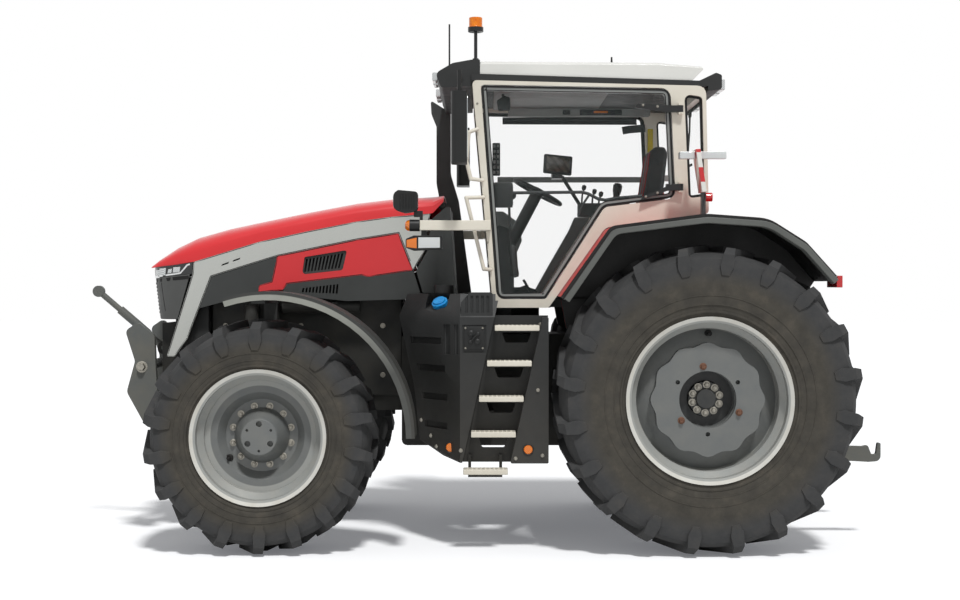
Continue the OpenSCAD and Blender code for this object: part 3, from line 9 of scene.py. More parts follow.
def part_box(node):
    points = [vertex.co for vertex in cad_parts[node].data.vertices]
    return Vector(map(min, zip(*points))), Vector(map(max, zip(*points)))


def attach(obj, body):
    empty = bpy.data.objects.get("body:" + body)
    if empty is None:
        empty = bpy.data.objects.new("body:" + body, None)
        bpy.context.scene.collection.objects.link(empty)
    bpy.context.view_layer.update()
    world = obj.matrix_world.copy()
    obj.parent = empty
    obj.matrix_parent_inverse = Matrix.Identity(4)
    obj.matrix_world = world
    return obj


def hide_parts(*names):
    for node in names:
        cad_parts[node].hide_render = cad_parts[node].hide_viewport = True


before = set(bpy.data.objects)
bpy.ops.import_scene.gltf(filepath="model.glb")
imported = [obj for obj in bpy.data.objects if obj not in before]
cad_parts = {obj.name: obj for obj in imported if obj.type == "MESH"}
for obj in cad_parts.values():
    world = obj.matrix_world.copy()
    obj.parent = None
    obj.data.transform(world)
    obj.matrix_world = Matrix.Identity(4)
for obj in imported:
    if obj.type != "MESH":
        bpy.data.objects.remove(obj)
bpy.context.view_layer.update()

MM = 0.001
# Scale of a wave texture whose bands are 1 mm apart, straight across an axis or along the diagonal
STRAIGHT_BANDS = 2 * math.pi / 20 / MM
DIAGONAL_BANDS = 2 * math.pi / 10 / MM
LEFT, RIGHT = -1, 1
UP = Vector((0, 0, 1))
FORWARD = Vector((-1, 0, 0))
SIDEWAYS = Vector((0, 1, 0))
BACKWARD = Vector((1, 0, 0))
DOWN = Vector((0, 0, -1))
OUT_LEFT = Vector((0, -1, 0))
# Right and up of a plate, by the way that it faces
FACES_LEFT = (1, 0, 0), (0, 0, 1)
FACES_RIGHT = (-1, 0, 0), (0, 0, 1)
FACES_BACK = (0, 1, 0), (0, 0, 1)
FACES_FORWARD = (0, -1, 0), (0, 0, 1)
FACES_UP = (1, 0, 0), (0, 1, 0)
FACES_DOWN = (1, 0, 0), (0, -1, 0)

# Light: strength of the white surroundings, of the broad lamp, and of the floor's glow to the camera
FILL_LIGHT, KEY_LIGHT, FLOOR_GLOW = 0.36, 2.55, 0.16
# Edges of a CAD node: degrees within which faces count as flat, and from which an edge is rounded
FLAT_WITHIN, ROUNDED_FROM = 0.5, 32
# Stuffing of the seat: voxel and most swell in millimetres, pressure, and steps of the simulation
PAD_VOXEL, MOST_SWELL, STUFFING_PRESSURE, STUFFING_STEPS = 7.5, 22, 4, 20

# The tractor's own places, in millimetres, as in the part's source
FRONT_AXLE = Vector((-1467, 0, 790))
REAR_AXLE = Vector((1533, 0, 1040))
CAB_HALF = 840
DOOR_OUTLINE = [(14, 3191), (1325, 3166), (1360, 2405), (870, 2345), (465, 1710), (125, 1710)]
DOOR_CORNERS = [25, 70, 60, 60, 30, 60]
QUARTER_OUTLINE = [(1420, 3127), (1545, 3107), (1562, 2420), (1450, 2405)]
QUARTER_CORNERS = [40, 30, 30, 30]
WINDSCREEN_FOOT = Vector((70, 0, 2021))
WINDSCREEN_HEAD = Vector((-33, 0, 3150))
SIDE_PANEL = [(-1446, 2016), (-884, 2131), (-574, 2179), (-470, 1913), (-792, 1866), (-840, 1878),
              (-1377, 1816), (-1404, 1772), (-1583, 1755), (-1579, 1803), (-1487, 1832)]
BLADE = [(-2050, 1973.5), (-1820, 2043.5), (-1583, 2115.5), (-1240, 2189.5), (-886, 2259.5), (-633, 2294.5),
         (-345, 2317), (-354, 2281), (-386, 2055), (-467, 1912), (-573, 2180), (-884, 2132), (-1446, 2017),
         (-1926, 1869), (-2099, 1420), (-2190, 1293), (-2246, 1293), (-2059, 1886)]
BRIGHT_STRIP = [(-2360, 1866), (-2340, 1868), (-2300, 1872), (-2240, 1880), (-2190, 1886), (-2150, 1893),
                (-2122, 1924), (-2100, 1950), (-2080, 1957)]
NOSE_GAP = [(-2340, 1838), (-2300, 1842), (-2240, 1848), (-2190, 1854), (-2140, 1859), (-2090, 1864)]
NOSE_SEAM = [(-2296, 1825), (-2286, 1760), (-2274, 1690), (-2262, 1620)]
PULL_BAR = [(230, 2446), (400, 2448), (600, 2450), (720, 2451), (760, 2440), (830, 2404), (880, 2396),
            (960, 2410), (1130, 2424)]
AIR_DUCT = [(-1900, 150, 1960), (-1700, 170, 1985), (-1200, 175, 1990), (-800, 170, 1985), (-640, 120, 1950),
            (-600, 60, 1890), (-590, 40, 1840)]
DUCT_END = [(-1900, 150, 1960), (-1955, 140, 1930), (-1975, 130, 1850)]
ARM_Y = 970
# Front fender: its middle, the radius of its top, and the heights between which its edge goes from painted
# shade to a painted highlight
FENDER_MIDDLE = FRONT_AXLE + Vector((70, 0, 0))
FENDER_REACH = 955
EDGE_SHADE_TO_HIGHLIGHT = 1220, 1660
# Heights between which a warning board changes from its foot to its film
BOARD_FOOT = 2428, 2431
STEP_X = [109, 57, 3, -50, -103]
STEP_TOP_Z = [1536, 1298, 1060, 822, 572]


def mm(x, y, z):
    """A place in millimetres as Blender's metres."""
    return Vector((x, y, z)) * MM


# Camera, floor and light

def photo_camera():
    """Level and square to the tractor's left side, ten metres from its wheels."""
    lens = bpy.data.cameras.new("photo_camera")
    lens.lens = 55.2
    lens.sensor_width = 36
    lens.shift_y = -15 / 960
    lens.clip_end = 200
    camera = bpy.data.objects.new("photo_camera", lens)
    camera.location = (0.010, -11.0, 1.807)
    camera.rotation_euler = (math.radians(90), 0, 0)
    bpy.context.scene.collection.objects.link(camera)
    bpy.context.scene.camera = camera


def soft_sun(name, shines_from, strength, degrees):
    """A broad sun-like lamp: a large studio light far away."""
    lamp = bpy.data.lights.new(name, "SUN")
    lamp.energy = strength
    lamp.angle = math.radians(degrees)
    holder = bpy.data.objects.new(name, lamp)
    holder.rotation_euler = (-Vector(shines_from)).to_track_quat("-Z", "Y").to_euler()
    bpy.context.scene.collection.objects.link(holder)


def studio():
    """White surroundings, a pale floor that keeps the shadow, and one broad light from the camera's side."""
    world = bpy.data.worlds.new("studio_white")
    bpy.context.scene.world = world
    world.use_nodes = True
    tree = world.node_tree
    back = tree.nodes["Background"]
    path = add(tree, "ShaderNodeLightPath").outputs
    seen = add(tree, "ShaderNodeMath", {"operation": "MAXIMUM"}, i0=path["Is Camera Ray"],
               i1=path["Is Glossy Ray"])
    seen = add(tree, "ShaderNodeMath", {"operation": "MAXIMUM"}, i0=seen.outputs[0],
               i1=path["Is Transmission Ray"])
    level = add(tree, "ShaderNodeMapRange", Value=seen.outputs[0], To_Min=FILL_LIGHT, To_Max=1.0)
    tree.links.new(level.outputs["Result"], back.inputs["Strength"])
    back.inputs["Color"].default_value = linear("#FFFFFF")
    work = bmesh.new()
    bmesh.ops.create_grid(work, x_segments=1, y_segments=1, size=60)
    mesh = bpy.data.meshes.new("floor")
    work.to_mesh(mesh)
    work.free()
    floor = bpy.data.objects.new("floor", mesh)
    bpy.context.scene.collection.objects.link(floor)
    floor.data.materials.append(floor_paint())
    soft_sun("key_light", (0.14, -0.52, 0.9), KEY_LIGHT, 7)


# Materials

def linear(hex_colour):
    """An sRGB hex colour as linear red, green, blue and 1."""
    parts = [int(hex_colour[i:i + 2], 16) / 255 for i in (1, 3, 5)]
    return [c / 12.92 if c <= 0.04045 else ((c + 0.055) / 1.055) ** 2.4 for c in parts] + [1.0]


def add(tree, kind, settings=None, stops=(), **sockets):
    """A node with its settings, a ramp's (place, hex) stops, and its sockets: values or outputs to link."""
    made = tree.nodes.new(kind)
    for key, value in (settings or {}).items():
        setattr(made, key, value)
    for number, (place, colour) in enumerate(stops):
        if number >= len(made.color_ramp.elements):
            made.color_ramp.elements.new(place)
        made.color_ramp.elements[number].position = place
        made.color_ramp.elements[number].color = linear(colour)
    for key, value in sockets.items():
        socket = made.inputs[int(key[1:])] if key[1:].isdigit() else made.inputs[key.replace("_", " ")]
        if isinstance(value, bpy.types.NodeSocket):
            tree.links.new(value, socket)
        else:
            socket.default_value = value
    return made


# Setting of a mix node for colours, whose sockets are the share (0) and the two colours (6 and 7)
COLOURS = {"data_type": "RGBA"}


def start(name, **constants):
    """A material, its tree, its shader with plain values on its own sockets, and object coordinates."""
    material = bpy.data.materials.new(name)
    material.use_nodes = True
    tree = material.node_tree
    shader = tree.nodes["Principled BSDF"]
    for key, value in constants.items():
        shader.inputs[key.replace("_", " ")].default_value = value
    return material, tree, shader, add(tree, "ShaderNodeTexCoord").outputs["Object"]


def join(tree, source, shader, socket="Base Color"):
    """Links an output to one of the shader's sockets."""
    tree.links.new(source, shader.inputs[socket])


def mottle(tree, coords, size_mm, *stops, detail=5.0):
    """Colour that drifts over patches of a real size."""
    noise = add(tree, "ShaderNodeTexNoise", Vector=coords, Scale=1000 / size_mm, Detail=detail,
                Roughness=0.65)
    return add(tree, "ShaderNodeValToRGB", stops=stops, Fac=noise.outputs["Fac"]).outputs["Color"]


def grain(tree, shader, coords, size_mm, depth_mm, detail=3.0, strength=0.5):
    """Fine height noise of a real grain width and depth on the shader's normal."""
    noise = add(tree, "ShaderNodeTexNoise", Vector=coords, Scale=1000 / size_mm, Detail=detail)
    bump = add(tree, "ShaderNodeBump", Height=noise.outputs["Fac"], Distance=depth_mm * MM, Strength=strength)
    join(tree, bump.outputs["Normal"], shader, "Normal")


def rub(tree, shader, coords, size_mm, low, high):
    """Roughness that varies with handling and washing."""
    noise = add(tree, "ShaderNodeTexNoise", Vector=coords, Scale=1000 / size_mm, Detail=6.0)
    level = add(tree, "ShaderNodeMapRange", Value=noise.outputs["Fac"], From_Min=0.3, From_Max=0.7,
                To_Min=low, To_Max=high)
    join(tree, level.outputs["Result"], shader, "Roughness")


def axis_share(tree, coords, axis, first, last):
    """0 at the first place along an axis and 1 at the last, in millimetres."""
    along = add(tree, "ShaderNodeSeparateXYZ", Vector=coords).outputs[axis]
    return add(tree, "ShaderNodeMapRange", Value=along, From_Min=first * MM,
               From_Max=last * MM).outputs["Result"]


def axle_reach(tree, coords, axle):
    """Distance from a wheel's axle, and the node that gives the way out from it."""
    spoke = add(tree, "ShaderNodeVectorMath", {"operation": "SUBTRACT"}, i0=coords, i1=axle * MM)
    flat = add(tree, "ShaderNodeVectorMath", {"operation": "MULTIPLY"}, i0=spoke.outputs[0], i1=(1, 0, 1))
    return add(tree, "ShaderNodeVectorMath", {"operation": "LENGTH"},
               i0=flat.outputs[0]).outputs["Value"], flat


def dusty(tree, coords, colour, dust, top_mm, most, patch_mm=180):
    """Field dust over a colour: thickest low down, none above top_mm, broken into patches."""
    low = axis_share(tree, coords, "Z", top_mm, 350)
    patch = add(tree, "ShaderNodeTexNoise", Vector=coords, Scale=1000 / patch_mm, Detail=8.0, Roughness=0.7)
    share = add(tree, "ShaderNodeMath", {"operation": "MULTIPLY"}, i0=low, i1=patch.outputs["Fac"])
    share = add(tree, "ShaderNodeMath", {"operation": "MULTIPLY"}, i0=share.outputs[0], i1=most)
    return add(tree, "ShaderNodeMix", COLOURS, i0=share.outputs[0], i6=colour, i7=linear(dust)).outputs[2]


def red_enamel():
    """Two-pack enamel sprayed over steel and baked: deep, glossy, with a faint orange peel of about 8 mm."""
    material, tree, shader, coords = start("red_enamel", Coat_Weight=0.35, Coat_Roughness=0.07)
    join(tree, mottle(tree, coords, 700, (0.3, "#CB111B"), (0.7, "#D2161F")), shader)
    rub(tree, shader, coords, 240, 0.3, 0.4)
    grain(tree, shader, coords, 8, 0.05, 1.0, 0.2)
    return material


def fender_enamel():
    """The same red enamel outside the rear fenders; the faces turned in towards the axle are near black."""
    material, tree, shader, coords = start("fender_enamel", Specular_IOR_Level=0.35)
    spoke = axle_reach(tree, coords, REAR_AXLE)[1]
    facing = add(tree, "ShaderNodeTexCoord").outputs["Normal"]
    outward = add(tree, "ShaderNodeVectorMath", {"operation": "DOT_PRODUCT"}, i0=facing, i1=spoke.outputs[0])
    # Metres that a face looks out from the axle: near black to the first, enamel from the second
    share = add(tree, "ShaderNodeMapRange", Value=outward.outputs["Value"], From_Min=0.28, From_Max=0.34)
    underside_black = mottle(tree, coords, 60, (0.3, "#141414"), (0.7, "#20201F"))
    enamel = mottle(tree, coords, 500, (0.3, "#C8101A"), (0.7, "#D0151E"))
    join(tree, add(tree, "ShaderNodeMix", COLOURS, i0=share.outputs["Result"], i6=underside_black,
                   i7=enamel).outputs[2], shader)
    rub(tree, shader, coords, 240, 0.36, 0.5)
    grain(tree, shader, coords, 6, 0.15, 2.0, 0.25)
    return material


def silver_lacquer():
    """Metallic lacquer: aluminium flake in clear binder, which gives a soft sheen and fine sparkle.
    The flake of under 0.1 mm is drawn 3 mm wide so that it shows, its sparkle painted into the colour as
    lighter flake middles."""
    material, tree, shader, coords = start("silver_lacquer", Metallic=0.25, Coat_Weight=0.3,
                                           Coat_Roughness=0.12)
    flake = add(tree, "ShaderNodeTexVoronoi", Vector=coords, Scale=1000 / 3)
    # Painted sparkle: each flake lighter at its middle
    sheen = add(tree, "ShaderNodeValToRGB", stops=[(0.0, "#C0C2BD"), (1.0, "#B0B2AD")],
                Fac=flake.outputs["Distance"])
    join(tree, dusty(tree, coords, sheen.outputs["Color"], "#8A8578", 1700, 0.5), shader)
    rub(tree, shader, coords, 200, 0.34, 0.46)
    grain(tree, shader, coords, 9, 0.05, 1.0, 0.2)
    return material


def moulded_plastic(name, light, dark, gloss_low=0.5, gloss_high=0.66, dust=0.45):
    """Injection-moulded plastic with an etched leather grain of about 1.5 mm, drawn 4 mm wide to show."""
    material, tree, shader, coords = start(name, IOR=1.49, Specular_IOR_Level=0.32)
    plain = mottle(tree, coords, 420, (0.3, dark), (0.7, light))
    join(tree, dusty(tree, coords, plain, "#5B554A", 1500, dust), shader)
    rub(tree, shader, coords, 130, gloss_low, gloss_high)
    grain(tree, shader, coords, 4, 0.3, 2.0, 0.3)
    return material


def cream_enamel():
    """Cream machine enamel, sprayed: satin, a little darker and browner where hands and boots touch it."""
    material, tree, shader, coords = start("cream_enamel", Coat_Weight=0.2, Coat_Roughness=0.2)
    plain = mottle(tree, coords, 380, (0.3, "#CFC9BA"), (0.65, "#DBD6C9"), detail=7.0)
    join(tree, dusty(tree, coords, plain, "#A39A86", 1900, 0.5), shader)
    rub(tree, shader, coords, 160, 0.36, 0.5)
    grain(tree, shader, coords, 7, 0.05, 1.0, 0.25)
    return material


def white_gelcoat():
    """Gel-coated fibreglass roof: bright, glossy, slightly wavy from its mould."""
    material, tree, shader, coords = start("white_gelcoat", Coat_Weight=0.3, Coat_Roughness=0.1)
    join(tree, mottle(tree, coords, 600, (0.3, "#D3D3CE"), (0.7, "#DBDBD6")), shader)
    rub(tree, shader, coords, 200, 0.3, 0.4)
    grain(tree, shader, coords, 60, 0.2, 1.0, 0.2)
    return material


def cab_safety_glass():
    """Tempered float glass, clear with a faint green-grey body tint."""
    material, tree, shader, coords = start("cab_safety_glass", Roughness=0.02, IOR=1.5, Alpha=0.03)
    join(tree, mottle(tree, coords, 240, (0.3, "#8E9A97"), (0.7, "#9AA5A2")), shader)
    return material


def tread_rubber(name, axle):
    """Vulcanised tyre rubber: carbon black, matt, dry brown field dust on the walls, grit in the lugs."""
    material, tree, shader, coords = start(name, IOR=1.5, Specular_IOR_Level=0.22)
    reach = axle_reach(tree, coords, axle)[0]
    outer = axle.z * MM
    on_lugs = add(tree, "ShaderNodeMapRange", Value=reach, From_Min=outer * 0.74, From_Max=outer * 0.84)
    walls = mottle(tree, coords, 110, (0.3, "#393733"), (0.55, "#45423C"), (0.75, "#524D45"), detail=9.0)
    lugs = mottle(tree, coords, 90, (0.3, "#363738"), (0.6, "#414141"), (0.8, "#4B4946"), detail=9.0)
    join(tree, add(tree, "ShaderNodeMix", COLOURS, i0=on_lugs.outputs["Result"], i6=walls,
                   i7=lugs).outputs[2], shader)
    rub(tree, shader, coords, 90, 0.72, 0.9)
    grain(tree, shader, coords, 14, 1.2, 8.0, 0.45)
    return material


def wheel_enamel(name, axle, hub_edge, disc_edge, lip_edge):
    """Baked wheel enamel: dark hub, mid grey disc, silver barrel, bright lip, a film of dust."""
    material, tree, shader, coords = start(name, Metallic=0.1, Specular_IOR_Level=0.4)
    reach = axle_reach(tree, coords, axle)[0]
    on_barrel = add(tree, "ShaderNodeMapRange", Value=reach, From_Min=(disc_edge - 3) * MM,
                    From_Max=(disc_edge + 3) * MM)
    on_lip = add(tree, "ShaderNodeMapRange", Value=reach, From_Min=(lip_edge - 2) * MM,
                 From_Max=(lip_edge + 2) * MM)
    on_disc = add(tree, "ShaderNodeMapRange", Value=reach, From_Min=(hub_edge - 2) * MM,
                  From_Max=(hub_edge + 2) * MM)
    hub = mottle(tree, coords, 60, (0.3, "#2A2C2D"), (0.75, "#3A3A38"))
    face = mottle(tree, coords, 150, (0.3, "#656868"), (0.75, "#70716E"), detail=8.0)
    disc = add(tree, "ShaderNodeMix", COLOURS, i0=on_disc.outputs["Result"], i6=hub, i7=face).outputs[2]
    barrel = mottle(tree, coords, 120, (0.3, "#8F9290"), (0.75, "#9A9993"), detail=8.0)
    lip = mottle(tree, coords, 90, (0.3, "#C9C9C4"), (0.8, "#BDB9AE"), detail=8.0)
    silver = add(tree, "ShaderNodeMix", COLOURS, i0=on_lip.outputs["Result"], i6=barrel, i7=lip).outputs[2]
    join(tree, add(tree, "ShaderNodeMix", COLOURS, i0=on_barrel.outputs["Result"], i6=disc,
                   i7=silver).outputs[2], shader)
    rub(tree, shader, coords, 100, 0.38, 0.52)
    grain(tree, shader, coords, 10, 0.08, 2.0, 0.25)
    return material


def painted_casting(name, clean, dust, dust_share=0.8):
    """Cast iron under machine paint: sand-cast skin of 3 mm grit drawn 9 mm wide, dust in its hollows."""
    material, tree, shader, coords = start(name, Specular_IOR_Level=0.3)
    plain = mottle(tree, coords, 200, (0.3, clean), (0.8, dust))
    join(tree, dusty(tree, coords, plain, dust, 1500, dust_share), shader)
    rub(tree, shader, coords, 90, 0.5, 0.68)
    grain(tree, shader, coords, 9, 0.5, 4.0, 0.45)
    return material


def tinted_acrylic(name, deep, bright, roughness=0.12, prism_mm=14):
    """Moulded acrylic lens, coloured through, with fine upright prisms whose catching of the light is painted
    as bright bands.
    """
    material, tree, shader, coords = start(name, Roughness=roughness, IOR=1.49, Coat_Weight=0.4,
                                           Coat_Roughness=0.05)
    prism_glints = add(tree, "ShaderNodeTexWave", {"bands_direction": "DIAGONAL"}, Vector=coords,
                 Scale=DIAGONAL_BANDS / prism_mm)
    # Bright bands: painted highlights where the prisms catch the light
    shade = add(tree, "ShaderNodeValToRGB", stops=[(0.0, deep), (1.0, bright)], Fac=prism_glints.outputs["Fac"])
    join(tree, shade.outputs["Color"], shader)
    return material


def two_tone(name, axis, first_mm, last_mm, below, above, roughness=0.4):
    """Two moulded plastics in one piece, which meet along a line across an axis."""
    material, tree, shader, coords = start(name, Roughness=roughness, IOR=1.49, Specular_IOR_Level=0.35)
    share = axis_share(tree, coords, axis, first_mm, last_mm)
    join(tree, add(tree, "ShaderNodeMix", COLOURS, i0=share, i6=mottle(tree, coords, 40, *below),
                   i7=mottle(tree, coords, 40, *above)).outputs[2], shader)
    grain(tree, shader, coords, 5, 0.1, 2.0, 0.25)
    return material


def warning_film():
    """Retro-reflective film of the warning boards: red and white bands at 45 degrees, on a black foot."""
    material, tree, shader, coords = start("warning_film", Roughness=0.3, Coat_Weight=0.3, Coat_Roughness=0.1)
    place = add(tree, "ShaderNodeSeparateXYZ", Vector=coords).outputs
    rise = add(tree, "ShaderNodeMath", {"operation": "ADD"}, i0=place["Y"], i1=place["Z"])
    pitch = 99 * MM  # a band of 70 mm measured along an axis, at 45 degrees
    band = add(tree, "ShaderNodeMath", {"operation": "PINGPONG"}, i0=rise.outputs[0], i1=pitch)
    edge = add(tree, "ShaderNodeMapRange", Value=band.outputs[0], From_Min=47 * MM, From_Max=51 * MM)
    red = mottle(tree, coords, 8, (0.3, "#B3141B"), (0.7, "#C51C22"))
    white = mottle(tree, coords, 8, (0.3, "#D2D2CC"), (0.7, "#E0E0DA"))
    film = add(tree, "ShaderNodeMix", COLOURS, i0=edge.outputs["Result"], i6=red, i7=white).outputs[2]
    foot = mottle(tree, coords, 60, (0.3, "#1C1D1D"), (0.7, "#262727"))
    above = axis_share(tree, coords, "Z", *BOARD_FOOT)
    join(tree, add(tree, "ShaderNodeMix", COLOURS, i0=above, i6=foot, i7=film).outputs[2], shader)
    return material


def woven_cloth(name, thread, shadow):
    """Woven polyester seat cloth; the 1 mm threads are drawn 6 mm apart so that the weave shows."""
    material, tree, shader, coords = start(name, Roughness=0.9, Sheen_Weight=0.3, Sheen_Roughness=0.4)
    warp = add(tree, "ShaderNodeTexWave", {"bands_direction": "Y"}, Vector=coords, Scale=STRAIGHT_BANDS / 6)
    weft = add(tree, "ShaderNodeTexWave", {"bands_direction": "DIAGONAL"}, Vector=coords,
               Scale=DIAGONAL_BANDS / 6)
    cloth = add(tree, "ShaderNodeMath", {"operation": "MULTIPLY"}, i0=warp.outputs["Fac"],
                i1=weft.outputs["Fac"])
    shade = add(tree, "ShaderNodeValToRGB", stops=[(0.0, shadow), (0.8, thread)], Fac=cloth.outputs[0])
    join(tree, shade.outputs["Color"], shader)
    bump = add(tree, "ShaderNodeBump", Height=cloth.outputs[0], Distance=0.6 * MM, Strength=0.6)
    join(tree, bump.outputs["Normal"], shader, "Normal")
    return material


def bright_metal(name, dark, light, low, high, film_mm=40):
    """Plated metal: a mirror of its surroundings, clouded by a thin film of dust and handling."""
    material, tree, shader, coords = start(name, Metallic=1.0)
    join(tree, mottle(tree, coords, film_mm, (0.3, dark), (0.7, light)), shader)
    rub(tree, shader, coords, film_mm, low, high)
    return material


def floor_paint():
    """Pale matt studio floor: white to the camera where light reaches it, and it keeps the shadow."""
    material, tree, shader, coords = start("floor_paint", Roughness=0.9, Specular_IOR_Level=0.0)
    join(tree, mottle(tree, coords, 2500, (0.0, "#F4F5F6"), (1.0, "#F8F8F8")), shader)
    path = add(tree, "ShaderNodeLightPath").outputs
    glow = add(tree, "ShaderNodeMapRange", Value=path["Is Camera Ray"], To_Min=0.0, To_Max=FLOOR_GLOW)
    join(tree, glow.outputs["Result"], shader, "Emission Strength")
    shader.inputs["Emission Color"].default_value = linear("#F4F7FF")
    return material


def lipped_plastic(name, lip_from, lip_to, body, lip, edge_in_shade):
    """Moulded fender plastic with a co-moulded light outer edge, lit further at its top by a painted
    highlight and darkened by painted shade towards the ground.
    """
    material, tree, shader, coords = start(name, IOR=1.49, Specular_IOR_Level=0.32)
    across = add(tree, "ShaderNodeSeparateXYZ", Vector=coords).outputs["Y"]
    out = add(tree, "ShaderNodeMath", {"operation": "ABSOLUTE"}, i0=across)
    share = add(tree, "ShaderNodeMapRange", Value=out.outputs[0], From_Min=lip_from * MM,
                From_Max=lip_to * MM)
    reach = axle_reach(tree, coords, FENDER_MIDDLE)[0]
    below_edge = add(tree, "ShaderNodeMapRange", Value=reach, From_Min=FENDER_REACH * MM,
                     From_Max=(FENDER_REACH - 3) * MM)
    edge = add(tree, "ShaderNodeMath", {"operation": "MULTIPLY"}, i0=share.outputs["Result"],
               i1=below_edge.outputs["Result"])
    plain = dusty(tree, coords, mottle(tree, coords, 300, *body), "#5B554A", 1500, 0.5)
    # Share of the edge's painted highlight over its painted shade: 0 at the lower height, 1 at the upper
    clean = axis_share(tree, coords, "Z", *EDGE_SHADE_TO_HIGHLIGHT)
    light_edge = add(tree, "ShaderNodeMix", COLOURS, i0=clean, i6=mottle(tree, coords, 200, *edge_in_shade),
                     i7=mottle(tree, coords, 200, *lip)).outputs[2]
    join(tree, add(tree, "ShaderNodeMix", COLOURS, i0=edge.outputs[0], i6=plain, i7=light_edge).outputs[2],
         shader)
    rub(tree, shader, coords, 130, 0.5, 0.66)
    grain(tree, shader, coords, 4, 0.3, 2.0, 0.3)
    return material


def door_lacquer():
    """Grey lacquer on the door's frame; its hinge arms and latch, which stand out of it, are black."""
    material, tree, shader, coords = start("door_lacquer", Specular_IOR_Level=0.4)
    across = add(tree, "ShaderNodeSeparateXYZ", Vector=coords).outputs["Y"]
    middle = add(tree, "ShaderNodeMath", {"operation": "ADD"}, i0=across, i1=(CAB_HALF - 20) * MM)
    out = add(tree, "ShaderNodeMath", {"operation": "ABSOLUTE"}, i0=middle.outputs[0])
    share = add(tree, "ShaderNodeMapRange", Value=out.outputs[0], From_Min=20.5 * MM, From_Max=21.5 * MM)
    frame_grey = mottle(tree, coords, 300, (0.3, "#7C7F7D"), (0.7, "#888A87"))
    black = mottle(tree, coords, 80, (0.3, "#161717"), (0.7, "#1E1F1F"))
    join(tree, add(tree, "ShaderNodeMix", COLOURS, i0=share.outputs["Result"], i6=frame_grey,
                   i7=black).outputs[2], shader)
    rub(tree, shader, coords, 120, 0.28, 0.42)
    return material


RED = red_enamel()
FENDER_RED = fender_enamel()
SILVER = silver_lacquer()
# Rotationally moulded polyethylene of the tanks, satin
BLACK = moulded_plastic("black_polyethylene", "#2C2D2D", "#242525")
# Glass-filled polyamide of brackets and grips, a little glossier
TRIM_BLACK = moulded_plastic("black_polyamide", "#1D1E1E", "#161717", 0.36, 0.5, 0.2)
# Extruded rubber of seals and gaps, dull
SEAL = moulded_plastic("seal_rubber", "#151515", "#0F0F0F", 0.6, 0.75, 0.1)
# Polypropylene panels, in the greys of the bonnet's lower part, the fender flares and the nose
GREY = moulded_plastic("grey_polypropylene", "#3E403F", "#363837")
FLARE_GREY = moulded_plastic("flare_polypropylene", "#5F615E", "#555754")
NOSE_GREY = moulded_plastic("nose_polypropylene", "#525352", "#494A49", 0.42, 0.55)
# Thermoformed ABS inside the cab, which stays cleaner than the outside
INSIDE_GREY = moulded_plastic("cab_lining_plastic", "#8A8D8B", "#7E817F", 0.55, 0.7, 0.1)
INSIDE_DARK = moulded_plastic("console_plastic", "#2F3233", "#272A2B", 0.5, 0.65, 0.1)
# Front fender: dark body, light edge with a painted highlight, and the same edge in painted shade near the
# ground
FENDER_PLASTIC = lipped_plastic("front_fender_plastic", 1249, 1251, ((0.3, "#333433"), (0.7, "#3B3C3A")),
                                ((0.3, "#868881"), (0.7, "#92938C")), ((0.3, "#454644"), (0.7, "#4E4F4C")))
DOOR_GREY = door_lacquer()
CREAM = cream_enamel()
WHITE = white_gelcoat()
GLASS = cab_safety_glass()
FRONT_RUBBER = tread_rubber("front_tread_rubber", FRONT_AXLE)
REAR_RUBBER = tread_rubber("rear_tread_rubber", REAR_AXLE)
FRONT_WHEEL = wheel_enamel("front_wheel_enamel", FRONT_AXLE, 0, 340, 432)
REAR_WHEEL = wheel_enamel("rear_wheel_enamel", REAR_AXLE, 187, 472, 533)
# Driveline castings: near-black machine paint, darkened further as painted shade for the engine and gearbox
# under the body
SHADED_CASTING = painted_casting("driveline_casting_painted_shade", "#232525", "#35332E")
LINK_STEEL = painted_casting("linkage_enamel", "#565A5A", "#66645C")
# Lenses, clear glass over reflectors, smoked headlamp cover, display
AMBER = tinted_acrylic("amber_acrylic", "#C0560A", "#EA8418")
RED_LENS = tinted_acrylic("red_acrylic", "#A00D10", "#D02024")
CLEAR = tinted_acrylic("clear_acrylic", "#A9ADAD", "#DDE0E0", 0.08)
SMOKED = tinted_acrylic("smoked_acrylic", "#0E0F10", "#191B1C", 0.06, 40)
SCREEN = tinted_acrylic("display_glass", "#3B332B", "#5E564C", 0.1, 70)
# Beacon: black foot and amber dome. Caps: blue on the left tank, black beside it
BEACON_LENS = two_tone("beacon_acrylic", "Z", 3598, 3602, ((0.3, "#17181A"), (0.7, "#202224")),
                       ((0.3, "#D2660C"), (0.7, "#F08A1C")), 0.2)
CAP_PLASTIC = two_tone("cap_polyethylene", "Y", -742, -738, ((0.3, "#1379BE"), (0.7, "#2495D6")),
                       ((0.3, "#1B1C1C"), (0.7, "#252626")))
WARNING_FILM = warning_film()
SEAT_CLOTH = woven_cloth("seat_weave", "#3A3A3C", "#1C1C1E")
PIPING = woven_cloth("red_piping_weave", "#C81C24", "#8A0E14")
# Chromed trim, zinc-plated bolts, bolts that have rusted, silvered mirror
CHROME = bright_metal("chrome_on_abs", "#C9CACA", "#E6E7E7", 0.06, 0.14)
ZINC = bright_metal("zinc_plate", "#85827A", "#A8A49A", 0.34, 0.5, 18)
RUSTED = bright_metal("rusted_steel", "#5A4036", "#8A6A58", 0.6, 0.8, 12)
MIRROR_GLASS = bright_metal("silvered_glass", "#C4CACC", "#D2D8DA", 0.02, 0.05, 200)
# Plain vinyl strip on the inner pillar
YELLOW = moulded_plastic("yellow_vinyl", "#C9B21A", "#BFA914", 0.4, 0.5, 0.0)

